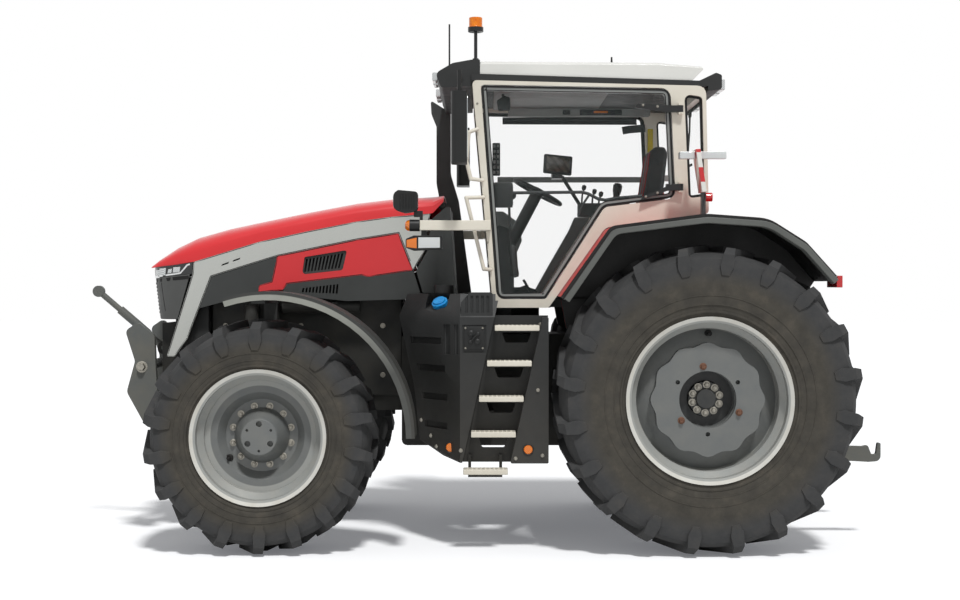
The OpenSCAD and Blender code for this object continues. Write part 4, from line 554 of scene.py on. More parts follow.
# Finish of each CAD node, and the rounding of its edges in millimetres
NODE_FINISH = [
    (RED, 4, "bonnet_shell bonnet_side_panels"),
    (FENDER_RED, 5, "rear_fenders"),
    (SILVER, 3, "bonnet_blades"),
    (BLACK, 6, "radiator roof_base fuel_tanks step_frame"),
    (TRIM_BLACK, 6, "mirrors steering_column armrest seat_base arm_lamps"),
    (GREY, 3, "cowl cab_floor bonnet_vent_panels exhaust_stack"),
    (FLARE_GREY, 5, "fender_flares"),
    (FENDER_PLASTIC, 5, "front_fender_left front_fender_right"),
    (DOOR_GREY, 4, "door_frame"),
    (NOSE_GREY, 6, "nose_grille"),
    (CREAM, 5, "cab_frame hand_rails lamp_arms step_treads"),
    (WHITE, 12, "cab_roof"),
    (WARNING_FILM, 2, "warning_boards"),
    (GLASS, 0, "cab_glass door_glass rear_window"),
    (FRONT_RUBBER, 9, "front_tyre_left front_tyre_right"),
    (REAR_RUBBER, 11, "rear_tyre_left rear_tyre_right"),
    (FRONT_WHEEL, 3, "front_rim_left front_rim_right"),
    (REAR_WHEEL, 3, "rear_rim_left rear_rim_right"),
    (SHADED_CASTING, 8, "engine_block front_frame front_axle transmission knuckle_left knuckle_right tow_hitch"),
    (LINK_STEEL, 6, "front_lift_arms front_top_link rear_lower_links rear_lift_arms rear_lift_rods "
                    "bonnet_hinges"),
    (BEACON_LENS, 4, "beacon"),
    (RED_LENS, 4, "tail_lamps"),
    (CLEAR, 6, "work_lamps"),
    (SMOKED, 3, "headlamps"),
    (CAP_PLASTIC, 3, "filler_caps"),
    (SEAT_CLOTH, 0, "seat_cushions"),
]
# Nodes whose pocketed faces would fold over themselves if their triangles were joined
POCKETED = ("fuel_tanks",)


def dress_nodes():
    """Gives each CAD node its finish, and rounds its edges by modifiers, as the real part's are."""
    for finish, edge, names in NODE_FINISH:
        for name in names.split():
            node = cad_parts[name]
            for slot in node.material_slots:
                slot.material = finish
            if edge:
                weld = node.modifiers.new("joined_faces", "WELD")
                weld.merge_threshold = 1e-5
                if name not in POCKETED:
                    flat = node.modifiers.new("flat_faces", "DECIMATE")
                    flat.decimate_type = "DISSOLVE"
                    flat.angle_limit = math.radians(FLAT_WITHIN)
                bevel = node.modifiers.new("rounded_edges", "BEVEL")
                bevel.width = edge * MM
                bevel.segments = 2
                bevel.limit_method = "ANGLE"
                bevel.angle_limit = math.radians(ROUNDED_FROM)
                bevel.use_clamp_overlap = True
                node.modifiers.new("even_shading", "WEIGHTED_NORMAL")


# Mesh work: each shape is added to a bmesh, sizes in millimetres, places as Blender vectors

surfaces = {}  # ray-cast trees of the nodes and pieces that others are set on


def touch(name, start_at, aim):
    """Where a line from a place meets a CAD node (or a finished piece) first."""
    if name not in surfaces:
        mesh = (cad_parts.get(name) or bpy.data.objects[name]).data
        surfaces[name] = BVHTree.FromPolygons([v.co for v in mesh.vertices],
                                              [p.vertices for p in mesh.polygons])
    hit = surfaces[name].ray_cast(start_at, aim)
    if hit[0] is None:
        raise ValueError(f"nothing of {name} at {tuple(start_at)}")
    return hit[0]


def from_side(name, side, x, z):
    """The point of a node seen at x, z in millimetres from one side."""
    return touch(name, mm(x, side * 3000, z), Vector((0, -side, 0)))


def span(work, low, high):
    """Faces between two rings of points, either of which may be a single point."""
    count = max(len(low), len(high))
    for i in range(count):
        j = (i + 1) % count
        ring = [low[i % len(low)], low[j % len(low)], high[j % len(high)], high[i % len(high)]]
        corners = [v for k, v in enumerate(ring) if v not in ring[:k]]
        if len(corners) > 2:
            work.faces.new(corners)


def turned(work, foot, axis, profile, steps=28, spin=0.0):
    """A turned shape: (radius, height) points about an axis from its foot. The ends are closed."""
    turn = Vector(axis).to_track_quat("Z", "Y").to_matrix()
    rings = []
    for radius, height in profile:
        places = [Vector((radius * math.cos(a), radius * math.sin(a), height))
                  for a in (spin + 2 * math.pi * i / steps for i in range(steps))]
        rings.append([work.verts.new(foot + turn @ p * MM) for p in (places if radius else places[:1])])
    for low, high in zip(rings, rings[1:]):
        span(work, low, high)
    for end in (rings[0], rings[-1]):
        if len(end) > 2 and profile[0] != profile[-1]:
            work.faces.new(end)


def nut(work, foot, axis, flats, stud=True):
    """A hexagon nut on its washer, with the end of its stud."""
    axis = Vector(axis)
    turned(work, foot - axis * MM, axis, [(0, 0), (flats * 0.8, 0), (flats * 0.8, 4), (flats * 0.74, 5),
                                          (0, 5)], 24)
    turned(work, foot + axis * 3.5 * MM, axis, [(0, 0), (flats * 0.57, 0), (flats * 0.57, flats * 0.55),
                                               (flats * 0.47, flats * 0.66), (0, flats * 0.66)], 6)
    if stud:
        turned(work, foot + axis * (3 + flats * 0.6) * MM, axis,
               [(0, 0), (flats * 0.3, 0), (flats * 0.3, flats * 0.24), (flats * 0.24, flats * 0.3),
                (0, flats * 0.3)], 14)


def screw(work, foot, axis, radius):
    """A domed screw head with a socket in it."""
    turned(work, foot - Vector(axis) * MM, axis,
           [(0, 0), (radius, 0), (radius, radius * 0.35), (radius * 0.8, radius * 0.6),
            (radius * 0.45, radius * 0.68), (radius * 0.4, radius * 0.3), (0, radius * 0.3)], 16)


def swept(work, path, section, out, closed=False):
    """A section of (across, out) points carried along a path, whose out side keeps facing a direction."""
    rings = []
    last = len(path) - 1
    for i, place in enumerate(path):
        before = path[i - 1] if i or closed else place
        after = path[(i + 1) % len(path)] if i < last or closed else place
        into, away = (place - before), (after - place)
        tangent = (into.normalized() + away.normalized()).normalized()
        across = tangent.cross(out).normalized()
        outward = across.cross(tangent).normalized()
        straight = away.normalized() if away.length else into.normalized()
        widen = min(1.0 / max(tangent.dot(straight), 0.35), 2.0)
        rings.append([work.verts.new(place + (across * a * widen + outward * o) * MM) for a, o in section])
    for low, high in zip(rings, rings[1:] + ([rings[0]] if closed else [])):
        span(work, low, high)
    if not closed:
        work.faces.new(rings[0])
        work.faces.new(rings[-1])


def round_section(radius, sides=12):
    """A rod's or pipe's section."""
    return [(radius * math.cos(2 * math.pi * i / sides),
             radius * math.sin(2 * math.pi * i / sides)) for i in range(sides)]


def flat_section(width, proud, sunk=1.0, edge=1.0):
    """A strip's section, with its outer edges taken off."""
    half = width / 2
    return [(-half, -sunk), (half, -sunk), (half, proud - edge), (half - edge, proud), (edge - half, proud),
            (-half, proud - edge)]


def rounded(corners, radii, steps=5):
    """A polygon of (a, b) corners with each corner rounded by its radius."""
    points = []
    for i, corner in enumerate(corners):
        here, before, after = (Vector(c) for c in (corner, corners[i - 1], corners[(i + 1) % len(corners)]))
        radius = radii[i] if isinstance(radii, (list, tuple)) else radii
        one, two = (before - here).normalized(), (after - here).normalized()
        half = math.acos(max(-1, min(1, one.dot(two)))) / 2
        reach = radius / math.tan(half)
        for k in range(steps + 1):
            t = k / steps
            a, b = here + one * reach, here + two * reach
            points.append(tuple(a * (1 - t) ** 2 + here * 2 * t * (1 - t) + b * t ** 2))
    return points


def box_outline(width, height, radius):
    """A rectangle with rounded corners about its middle."""
    return rounded([(-width / 2, -height / 2), (width / 2, -height / 2), (width / 2, height / 2),
                    (-width / 2, height / 2)], radius)


def slab(work, middle, right, up, outline, thick, edge=2.0):
    """A plate with a chamfered face: an outline along right and up, standing out by its thickness."""
    right, up = Vector(right).normalized(), Vector(up).normalized()
    out = right.cross(up).normalized()
    centre = Vector((sum(p[0] for p in outline), sum(p[1] for p in outline))) / len(outline)
    rings = []
    for inset, height in ((0, 0), (0, thick - edge), (edge * 0.35, thick - edge * 0.35), (edge, thick)):
        ring = []
        for a, b in outline:
            spoke = Vector((a, b)) - centre
            pulled = centre + spoke * max(0.0, 1 - inset / max(spoke.length, 1e-6))
            ring.append(work.verts.new(middle + (right * pulled.x + up * pulled.y + out * height) * MM))
        rings.append(ring)
    for low, high in zip(rings, rings[1:]):
        span(work, low, high)
    work.faces.new(rings[0])
    work.faces.new(rings[-1])


def draped(work, name, corners, aim, proud, sunk=3.0, steps=(8, 5)):
    """A thin pad that follows a node's surface: four corners (in order) are laid on it along aim."""
    aim = Vector(aim)
    tops, lows = [], []
    for i in range(steps[0] + 1):
        s = i / steps[0]
        for j in range(steps[1] + 1):
            t = j / steps[1]
            near = corners[0] * (1 - s) + corners[1] * s
            far = corners[3] * (1 - s) + corners[2] * s
            place = near * (1 - t) + far * t
            hit = touch(name, place, aim)
            rim = 0.0 if i in (0, steps[0]) or j in (0, steps[1]) else 1.0
            tops.append(work.verts.new(hit - aim * proud * (0.55 + 0.45 * rim) * MM))
            lows.append(work.verts.new(hit + aim * sunk * MM))
    row = steps[1] + 1
    for i in range(steps[0]):
        for j in range(steps[1]):
            k = i * row + j
            work.faces.new([tops[k], tops[k + 1], tops[k + row + 1], tops[k + row]])
            work.faces.new([lows[k], lows[k + row], lows[k + row + 1], lows[k + 1]])
    rim = list(range(row)) + [i * row + row - 1 for i in range(1, steps[0] + 1)]
    rim += [steps[0] * row + j for j in range(row - 2, -1, -1)]
    rim += [i * row for i in range(steps[0] - 1, 0, -1)]
    for a, b in zip(rim, rim[1:] + rim[:1]):
        work.faces.new([tops[a], tops[b], lows[b], lows[a]])


def hand_over(name, work, body, finish, crease=35):
    """A finished bmesh as a named piece that rides on a body and takes a slot's finish."""
    bmesh.ops.remove_doubles(work, verts=work.verts, dist=1e-6)
    bmesh.ops.recalc_face_normals(work, faces=work.faces)
    mesh = bpy.data.meshes.new(name)
    work.to_mesh(mesh)
    work.free()
    mesh.materials.append(finish)
    mesh.shade_smooth()
    mesh.set_sharp_from_angle(angle=math.radians(crease))
    piece = bpy.data.objects.new(name, mesh)
    bpy.context.scene.collection.objects.link(piece)
    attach(piece, body)
    return piece


# The pieces that dress the CAD nodes

def wheel_fittings():
    """Wheel nuts, weight bolts, valves and the raised rings of the tyre walls."""
    for side, word in ((LEFT, "left"), (RIGHT, "right")):
        out = Vector((0, side, 0))
        for end, axle, nuts, flats, valve, rings in (
                ("front", FRONT_AXLE, (12, 203), 30, (268, 215), (482, 520, 566)),
                ("rear", REAR_AXLE, (10, 95), 32, (440, 88), (592, 640, 700))):
            body = f"{end}_wheel_{word}"
            rim, tyre = f"{end}_rim_{word}", f"{end}_tyre_{word}"

            def on_wheel(node, radius, degrees, facing=side):
                turn = math.radians(degrees)
                return from_side(node, facing, axle.x + radius * math.cos(turn),
                                 axle.z + radius * math.sin(turn))

            work = bmesh.new()
            for i in range(nuts[0]):
                nut(work, on_wheel(rim, nuts[1], 15 + 360 / nuts[0] * i), out, flats)
            hand_over(f"{end}_wheel_nuts_{word}", work, body, ZINC)
            work = bmesh.new()
            turn = math.radians(valve[1])
            foot = mm(axle.x + valve[0] * math.cos(turn), on_wheel(rim, valve[0], valve[1] - 12).y / MM,
                      axle.z + valve[0] * math.sin(turn))
            turned(work, foot - out * 0.02, out, [(26, 0), (26, 24), (22, 27), (13, 27), (11, 22), (11, 40),
                                                  (8, 42), (8, 62), (0, 64)], 20)
            hand_over(f"{end}_valve_{word}", work, body, SEAL)
            if end == "rear":
                work = bmesh.new()
                for degrees in (90, 210, 330):
                    nut(work, on_wheel(rim, 225, degrees + 8), out, 30, stud=False)
                hand_over(f"weight_bolts_{word}", work, body, RUSTED)
            work = bmesh.new()
            for facing in (LEFT, RIGHT):
                for radius, proud, half in zip(rings, (7, 3, 3), (9, 5, 5)):
                    level = on_wheel(tyre, radius, 7, facing).y / MM
                    edge, crest = half * 1.6, half * 0.6
                    turned(work, mm(axle.x, level, axle.z), (0, facing, 0),
                           [(radius - edge, -8), (radius - crest, proud), (radius + crest, proud),
                            (radius + edge, -8), (radius - edge, -8)], 96)
            hand_over(f"{end}_tyre_rings_{word}", work, body, FRONT_RUBBER if end == "front" else REAR_RUBBER)


def headlamp_fittings():
    """Reflectors behind the smoked lens, the bright strip under it and the shadow gap below that."""
    bright, chrome, black = bmesh.new(), bmesh.new(), bmesh.new()
    for side in (LEFT, RIGHT):
        aim = Vector((0, -side, 0))
        for x0, x1, z0, z1 in ((-2318, -2264, 1874, 1930), (-2246, -2216, 1890, 1924),
                               (-2206, -2156, 1896, 1938)):
            corners = ((x0, z0), (x1, z0 + 4), (x1 + 5, z1), (x0 + 5, z1 - 4))
            draped(bright, "headlamps", [mm(x, side * 900, z) for x, z in corners], aim, 2.5)
        for y in (130, 220, 310):
            corners = ((y - 32, 1874), (y + 32, 1874), (y + 32, 1916), (y - 32, 1916))
            draped(bright, "headlamps", [mm(-3000, side * a, z) for a, z in corners], BACKWARD, 2.5)
        for work, node, line, section in (
                (chrome, "headlamps", BRIGHT_STRIP, flat_section(12, 4)),
                (black, "nose_grille", NOSE_GAP, flat_section(24, 2.5)),
                (black, "nose_grille", NOSE_SEAM, flat_section(6, 1.2))):
            swept(work, [from_side(node, side, x, z) for x, z in line], section, Vector((0, side, 0)))
    across = [touch("headlamps", mm(-3000, y, 1864), BACKWARD) for y in range(-330, 331, 30)]
    swept(chrome, across, flat_section(12, 4), FORWARD)
    hand_over("headlamp_reflectors", bright, "bonnet", CLEAR)
    hand_over("headlamp_trim", chrome, "bonnet", CHROME)
    for z in range(1610, 1830, 26):
        bar = [touch("nose_grille", mm(-3000, y, z), BACKWARD) for y in range(-270, 271, 30)]
        swept(black, bar, flat_section(14, 3.0), FORWARD)
    hand_over("nose_slats", black, "bonnet", SEAL)


def vent_screens():
    """Dark woven-wire screens behind the bonnet's air slots."""
    work = bmesh.new()
    for side in (LEFT, RIGHT):
        depth = abs(from_side("bonnet_side_panels", side, -1310, 1950).y) / MM - 42
        for outline in ([(-1290, 1866), (-930, 1896), (-925, 2075), (-1270, 2020)],
                        [(-1300, 1752), (-900, 1752), (-900, 1862), (-1300, 1838)],
                        [(-1890, 1925), (-1725, 1955), (-1725, 2000), (-1890, 1970)]):
            seen = [(-side * x, z) for x, z in outline]
            slab(work, mm(0, side * depth, 0), (-side, 0, 0), (0, 0, 1), seen, 3, 1)
    hand_over("vent_screens", work, "bonnet", SEAL)


def along_outline(corners, radii, y, inset=0.0):
    """A rounded outline in the side view, pulled in towards its middle line, as places."""
    points = rounded(corners, radii)
    places = []
    for i, here in enumerate(points):
        before, after = Vector(points[i - 1]), Vector(points[(i + 1) % len(points)])
        run = (after - before).normalized()
        places.append(mm(here[0] + run.y * inset, y, here[1] - run.x * inset))
    return places


def panel_gaps():
    """Shut lines: the dark gaps along the edges of the bonnet's panels."""
    work = bmesh.new()
    for side in (LEFT, RIGHT):
        for name, corners in (("bonnet_side_panels", SIDE_PANEL), ("bonnet_blades", BLADE)):
            ring = along_outline(corners, 2, 0, 4.5)
            path = []
            for here, after in zip(ring, ring[1:] + ring[:1]):
                parts = max(1, int((after - here).length / 0.06))
                path += [here.lerp(after, k / parts) for k in range(parts)]
            laid = [from_side(name, side, p.x / MM, p.z / MM) for p in path]
            swept(work, laid, flat_section(5, 0.8, 1.0, 0.4), Vector((0, side, 0)), True)
    hand_over("panel_gaps", work, "bonnet", SEAL)


def door_fittings():
    """Seal round the door, latch rod with its grip, pull bar, and screws of the hinge arms."""
    seal = bmesh.new()
    swept(seal, along_outline(DOOR_OUTLINE, DOOR_CORNERS, -CAB_HALF, 13), flat_section(13, 4.5),
          OUT_LEFT, True)
    swept(seal, along_outline(DOOR_OUTLINE, DOOR_CORNERS, -CAB_HALF, 38), flat_section(6, 2),
          OUT_LEFT, True)
    hand_over("door_seal", seal, "door", SEAL)
    rods = bmesh.new()
    swept(rods, [mm(212, -786, 2360), mm(216, -786, 2240), mm(222, -786, 2070)], round_section(9), SIDEWAYS)
    turned(rods, mm(232, -786, 2085), (0.1, 0, -1),
           [(0, 0), (18, 2), (27, 18), (29, 60), (26, 150), (29, 205), (24, 222), (0, 228)], 20)
    turned(rods, mm(232, -784, 2430), (0, 1, 0), [(0, 0), (30, 0), (30, 16), (22, 24), (0, 24)], 24)
    slab(rods, mm(166, -806.3, 2430), *FACES_LEFT, box_outline(146, 176, 26), 7, 3)
    hand_over("door_latch_rod", rods, "door", TRIM_BLACK)
    bar = bmesh.new()
    swept(bar, [mm(x, -790, z) for x, z in PULL_BAR], round_section(11), SIDEWAYS)
    swept(bar, [mm(770, -790, 2436), mm(720, -788, 2360), mm(690, -788, 2290)], round_section(8), SIDEWAYS)
    hand_over("door_pull_bar", bar, "door", INSIDE_DARK)
    heads = bmesh.new()
    for x, z in ((1150, 2414), (1230, 2440), (1130, 3044), (1230, 3034)):
        screw(heads, from_side("door_frame", LEFT, x, z), OUT_LEFT, 9)
    hand_over("door_hinge_screws", heads, "door", ZINC)


def window_borders():
    """Black fired-on enamel along the edges of the panes."""
    work = bmesh.new()
    for side in (LEFT, RIGHT):
        swept(work, along_outline(QUARTER_OUTLINE, QUARTER_CORNERS, side * (CAB_HALF - 20), 10),
              flat_section(18, 1.6), Vector((0, side, 0)), True)
    swept(work, along_outline(DOOR_OUTLINE, DOOR_CORNERS, CAB_HALF - 22, 16), flat_section(30, 1.6),
          SIDEWAYS, True)
    lean = (WINDSCREEN_HEAD - WINDSCREEN_FOOT).normalized()
    foot = WINDSCREEN_FOOT
    corners = [(-760, 2040), (760, 2040), (760, 3132), (-760, 3132)]
    pane = [mm(foot.x + (z - foot.z) * (lean.x / lean.z), y, z) for y, z in rounded(corners, 40)]
    swept(work, pane, flat_section(40, 1.6), Vector((-lean.z, 0, lean.x)), True)
    hand_over("window_borders", work, "chassis", SEAL)
    work = bmesh.new()
    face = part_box("rear_window")[0].x / MM
    corners = [(-740, 2362), (740, 2362), (740, 3105), (-740, 3105)]
    pane = [mm(face + 8.6, y, z) for y, z in rounded(corners, 50)]
    swept(work, pane, flat_section(36, 1.6), BACKWARD, True)
    arm = [mm(face + 16, y, z) for y, z in ((20, 3090), (40, 2960), (180, 2700))]
    turned(work, mm(face + 8, 20, 3090), BACKWARD, [(0, 0), (34, 0), (34, 12), (26, 18), (0, 18)], 24)
    swept(work, arm, round_section(7), BACKWARD)
    swept(work, [mm(face + 14, -80, 2700), mm(face + 14, 440, 2700)], flat_section(16, 6, 4),
          BACKWARD)
    hand_over("rear_window_border", work, "rear_window", SEAL)


def cab_lining():
    """Headliner, roof console with its radio, blind, rails, switch strip and lower panels inside the cab."""
    grey, dark, switches = bmesh.new(), bmesh.new(), bmesh.new()
    slab(grey, mm(760, 0, 3212), *FACES_DOWN, box_outline(1300, 1480, 90), 14, 6)
    slab(grey, mm(790, 640, 3165), *FACES_LEFT, box_outline(1120, 62, 16), 60, 6)
    slab(grey, mm(215, 770, 2180), *FACES_LEFT,
         rounded([(-95, -230), (40, -230), (130, -20), (110, 120), (-20, 215), (-105, 215)], 30), 16, 8)
    slab(dark, mm(200, 753, 2170), *FACES_LEFT,
         rounded([(-55, -120), (20, -120), (78, -10), (60, 80), (-55, 120)], 22), 6, 3)
    swept(grey, [mm(150, 795, 2650), mm(1345, 795, 2650)], flat_section(44, 9, 9, 3), SIDEWAYS)
    slab(dark, mm(960, 579, 3165), *FACES_LEFT, box_outline(330, 44, 6), 6, 2)
    slab(dark, mm(690, 579, 3165), *FACES_LEFT, box_outline(60, 36, 6), 6, 2)
    for x in (830, 1098):
        turned(dark, mm(x, 574, 3165), OUT_LEFT, [(0, 0), (15, 0), (13, 14), (0, 15)], 20)
    swept(dark, [mm(190, 770, 3128), mm(1260, 770, 3122)], round_section(20), SIDEWAYS)
    swept(dark, [mm(190, 770, 3100), mm(1262, 770, 3096)], round_section(9), SIDEWAYS)
    slab(dark, mm(180, -250, 3130), (1, 0, 0.25), (-0.25, 0, 1),
         rounded([(-50, -44), (38, -60), (60, 30), (20, 52), (-44, 30)], 18), 40, 10)
    swept(dark, [mm(175, -270, 3205), mm(180, -270, 3160)], round_section(9), SIDEWAYS)
    slab(dark, mm(140, 765, 2810), *FACES_LEFT, box_outline(62, 262, 10), 22, 4)
    for i in range(6):
        for x in (124, 154):
            slab(switches, mm(x, 743, 2705 + 42 * i), *FACES_LEFT, box_outline(18, 24, 4), 3, 1)
    swept(dark, [mm(1330, 770, 3060), mm(1200, 775, 3050), mm(1150, 770, 3040)], flat_section(60, 12, 12, 4),
          SIDEWAYS)
    hand_over("cab_lining", grey, "chassis", INSIDE_GREY)
    hand_over("cab_consoles", dark, "chassis", INSIDE_DARK)
    hand_over("cab_switches", switches, "chassis", INSIDE_GREY)
    strip = bmesh.new()
    slab(strip, mm(1372, 778, 2930), *FACES_LEFT, box_outline(44, 250, 6), 3, 1)
    hand_over("pillar_plate", strip, "chassis", YELLOW)
    lit = bmesh.new()
    slab(lit, mm(960, 572.5, 3167), *FACES_LEFT, box_outline(110, 16, 3), 2, 0.8)
    hand_over("radio_display", lit, "chassis", AMBER)


def driver_controls():
    """Display on its stalk, armrest pad and levers."""
    case, pane = bmesh.new(), bmesh.new()
    right, up = Vector((1, 0.25, -0.08)), Vector((0.06, 0, 1))
    slab(case, mm(600, 216, 2722), right, up, box_outline(222, 146, 14), 24, 6)
    slab(pane, mm(602, 190.5, 2724), right, up, box_outline(186, 112, 5), 2.5, 1)
    for x, z, tall in ((870, 2420, 90), (920, 2420, 70), (790, 2420, 120)):
        swept(case, [mm(x, 300, z - 8), mm(x + 4, 300, z + tall * 0.6), mm(x + 16, 300, z + tall)],
              round_section(7), SIDEWAYS)
        turned(case, mm(x + 14, 300, z + tall - 8), (0.2, 0, 1),
               [(0, 0), (13, 4), (18, 20), (16, 38), (0, 46)], 18)
    slab(case, mm(960, 311, 2418), *FACES_UP, box_outline(400, 88, 24), 16, 7)
    turned(case, mm(1050, 330, 2432), (0.15, 0, 1),
           [(0, 0), (26, 0), (24, 60), (34, 100), (36, 140), (24, 158), (0, 162)], 24)
    turned(case, mm(440, 0, 2500), (0.47, 0, 0.88), [(0, 8), (64, 8), (58, 24), (30, 32), (0, 33)], 32)
    hand_over("driver_controls", case, "chassis", TRIM_BLACK)
    hand_over("driver_display", pane, "chassis", SCREEN)
    mat = bmesh.new()
    slab(mat, mm(560, 0, 1711), *FACES_UP, box_outline(520, 1300, 40), 8, 3)
    for i in range(12):
        swept(mat, [mm(330 + 42 * i, -600, 1719), mm(330 + 42 * i, 600, 1719)], flat_section(14, 3), UP)
    hand_over("floor_mat", mat, "chassis", SEAL)


def seat_pads():
    """Seat and back cushion, swollen by cloth simulation under pressure, then piped in red."""
    work = bmesh.new()
    slab(work, mm(1040, 0, 2172), *FACES_UP, box_outline(400, 470, 50), 96, 22)
    back = rounded([(1196, 2305), (1290, 2835), (1375, 2835), (1318, 2305)], 22)
    slab(work, mm(0, 222, 0), *FACES_LEFT, back, 444, 24)
    pads = hand_over("seat_pads", work, "chassis", SEAT_CLOTH, 180)
    bpy.context.view_layer.objects.active = pads
    remesh = pads.modifiers.new("even_mesh", "REMESH")
    remesh.mode = "VOXEL"
    remesh.voxel_size = PAD_VOXEL * MM
    bpy.ops.object.modifier_apply(modifier="even_mesh")
    rest = [v.co.copy() for v in pads.data.vertices]
    cloth = pads.modifiers.new("stuffing", "CLOTH")
    cloth.settings.quality = 4
    cloth.settings.use_pressure = True
    cloth.settings.uniform_pressure_force = STUFFING_PRESSURE
    cloth.settings.effector_weights.gravity = 0
    for step in range(1, STUFFING_STEPS + 1):
        bpy.context.scene.frame_set(step)
    bpy.ops.object.modifier_apply(modifier="stuffing")
    bpy.context.scene.frame_set(1)
    for vertex, before in zip(pads.data.vertices, rest):
        move = vertex.co - before
        if move.length > MOST_SWELL * MM:
            vertex.co = before + move.normalized() * MOST_SWELL * MM
    smooth = pads.modifiers.new("soft_cover", "SUBSURF")
    smooth.levels = smooth.render_levels = 1
    bpy.ops.object.modifier_apply(modifier="soft_cover")
    pads.data.shade_smooth()
    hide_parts("seat_cushions")
    piping = bmesh.new()
    for y in (-172, -95, 95, 172):
        line = [touch("seat_pads", mm(600, y, z), BACKWARD) for z in range(2360, 2801, 30)]
        swept(piping, line, round_section(5, 8), SIDEWAYS)
    for y in (-172, 172):
        line = [touch("seat_pads", mm(x, y, 2600), DOWN) for x in range(890, 1161, 30)]
        swept(piping, line, round_section(5, 8), SIDEWAYS)
    hand_over("seat_piping", piping, "chassis", PIPING)


def lamp_fittings():
    """Lenses, ribs and bezels of the lamps, reflectors, mirror glass and a short aerial."""
    amber, clear, black, glass = bmesh.new(), bmesh.new(), bmesh.new(), bmesh.new()
    for side in (LEFT, RIGHT):
        out = Vector((0, side, 0))
        turned(amber, mm(-469, side * ARM_Y, 2213), FORWARD,
               [(0, 0), (38, 0), (38, 6), (34, 20), (22, 30), (0, 34)], 28)
        for work, corners in (
                (amber, ((-488, 2064), (-420, 2056), (-420, 2128), (-488, 2112))),
                (clear, ((-408, 2058), (-262, 2060), (-262, 2130), (-408, 2130)))):
            draped(work, "arm_lamps", [mm(x, side * 1500, z) for x, z in corners], -out, 4)
        inner, outer = side * (ARM_Y - 44), side * (ARM_Y + 44)
        corners = ((inner, 2336), (outer, 2336), (outer, 2414), (inner, 2414))
        draped(clear, "arm_lamps", [mm(-2000, y, z) for y, z in corners], BACKWARD, 4)
        for i in range(6):
            x = -530 + 19 * i
            foot = [from_side("arm_lamps", side, x, z) for z in (2325, 2425)]
            swept(black, foot, flat_section(7, 6, 2, 2), out)
        for x, z, node in ((-192, 700, "fuel_tanks"), (334, 700, "step_frame")):
            if side == LEFT or node == "fuel_tanks":
                foot = from_side(node, side, x, z)
                turned(amber, foot - out * 0.002, out, [(0, 0), (30, 0), (30, 7), (26, 11), (0, 12)], 28)
                turned(black, foot - out * 0.002, out,
                       [(30, 0), (37, 0), (37, 7), (34, 10), (30, 8), (30, 0)], 28)
        slab(glass, mm(-75.5, side * 1155, 2856), *FACES_BACK, box_outline(200, 420, 26), 3, 1.5)
        for y in (330, 560):
            lens = mm(-325.5, side * y, 3276)
            slab(glass, lens, *FACES_FORWARD, box_outline(112, 40, 10), 2.5, 1)
        for y in (380, 600):
            slab(glass, mm(1729.5, side * y, 3214), *FACES_BACK, box_outline(112, 50, 10), 2.5, 1)
    hand_over("amber_lenses", amber, "chassis", AMBER)
    hand_over("lamp_lenses", clear, "chassis", CLEAR)
    hand_over("mirror_and_lamp_glass", glass, "chassis", MIRROR_GLASS)
    foot = touch("cab_roof", mm(955, -430, 4000), DOWN)
    turned(black, foot - UP * 0.003, UP, [(0, 0), (26, 0), (24, 10), (10, 18), (8, 30), (6, 84), (0, 86)], 20)
    hand_over("lamp_ribs", black, "chassis", TRIM_BLACK)


def body_fasteners():
    """Tread studs, bolt heads and hose couplings."""
    studs, heads, sockets = bmesh.new(), bmesh.new(), bmesh.new()
    for x, top in zip(STEP_X, STEP_TOP_Z):
        for i in range(9):
            for y in (-1130, -1095, -1060):
                place = mm(x + 30 + i * 30, y, top)
                turned(studs, place - UP * MM, UP, [(0, 0), (8, 0), (7, 3), (4, 4.5), (0, 4.6)], 10)
    hand_over("tread_studs", studs, "chassis", CREAM)
    for side in (LEFT, RIGHT):
        out = Vector((0, side, 0))
        for x, z in ((-400, 860), (-330, 760), (-290, 690), (-120, 690)):
            nut(heads, from_side("fuel_tanks", side, x, z), out, 17, stud=False)
    for x, z in ((420, 1540), (430, 660), (250, 640), (400, 1100)):
        nut(heads, from_side("step_frame", LEFT, x, z), OUT_LEFT, 16, stud=False)
    for x, z in ((-8, 3060), (62, 2100)):
        screw(heads, from_side("cab_frame", LEFT, x, z), OUT_LEFT, 8)
    hand_over("body_bolts", heads, "chassis", ZINC)
    for y in (-210, -150, 150, 210):
        for z in (1150, 1215):
            foot = touch("transmission", mm(4000, y, z), FORWARD)
            turned(sockets, foot - Vector((0.002, 0, 0)), (1, 0, 0),
                   [(0, 0), (26, 0), (26, 24), (20, 28), (20, 52), (23, 54), (23, 70), (14, 72), (12, 60),
                    (0, 60)], 24)
    hand_over("hose_couplings", sockets, "chassis", ZINC)
    pins = bmesh.new()
    for side in (LEFT, RIGHT):
        out = Vector((0, side, 0))
        for x, z in ((-2337, 850), (-2417, 1220)):
            nut(pins, from_side("front_lift_arms", side, x, z), out, 52, stud=False)
    hand_over("front_linkage_nuts", pins, "front_lift", ZINC)


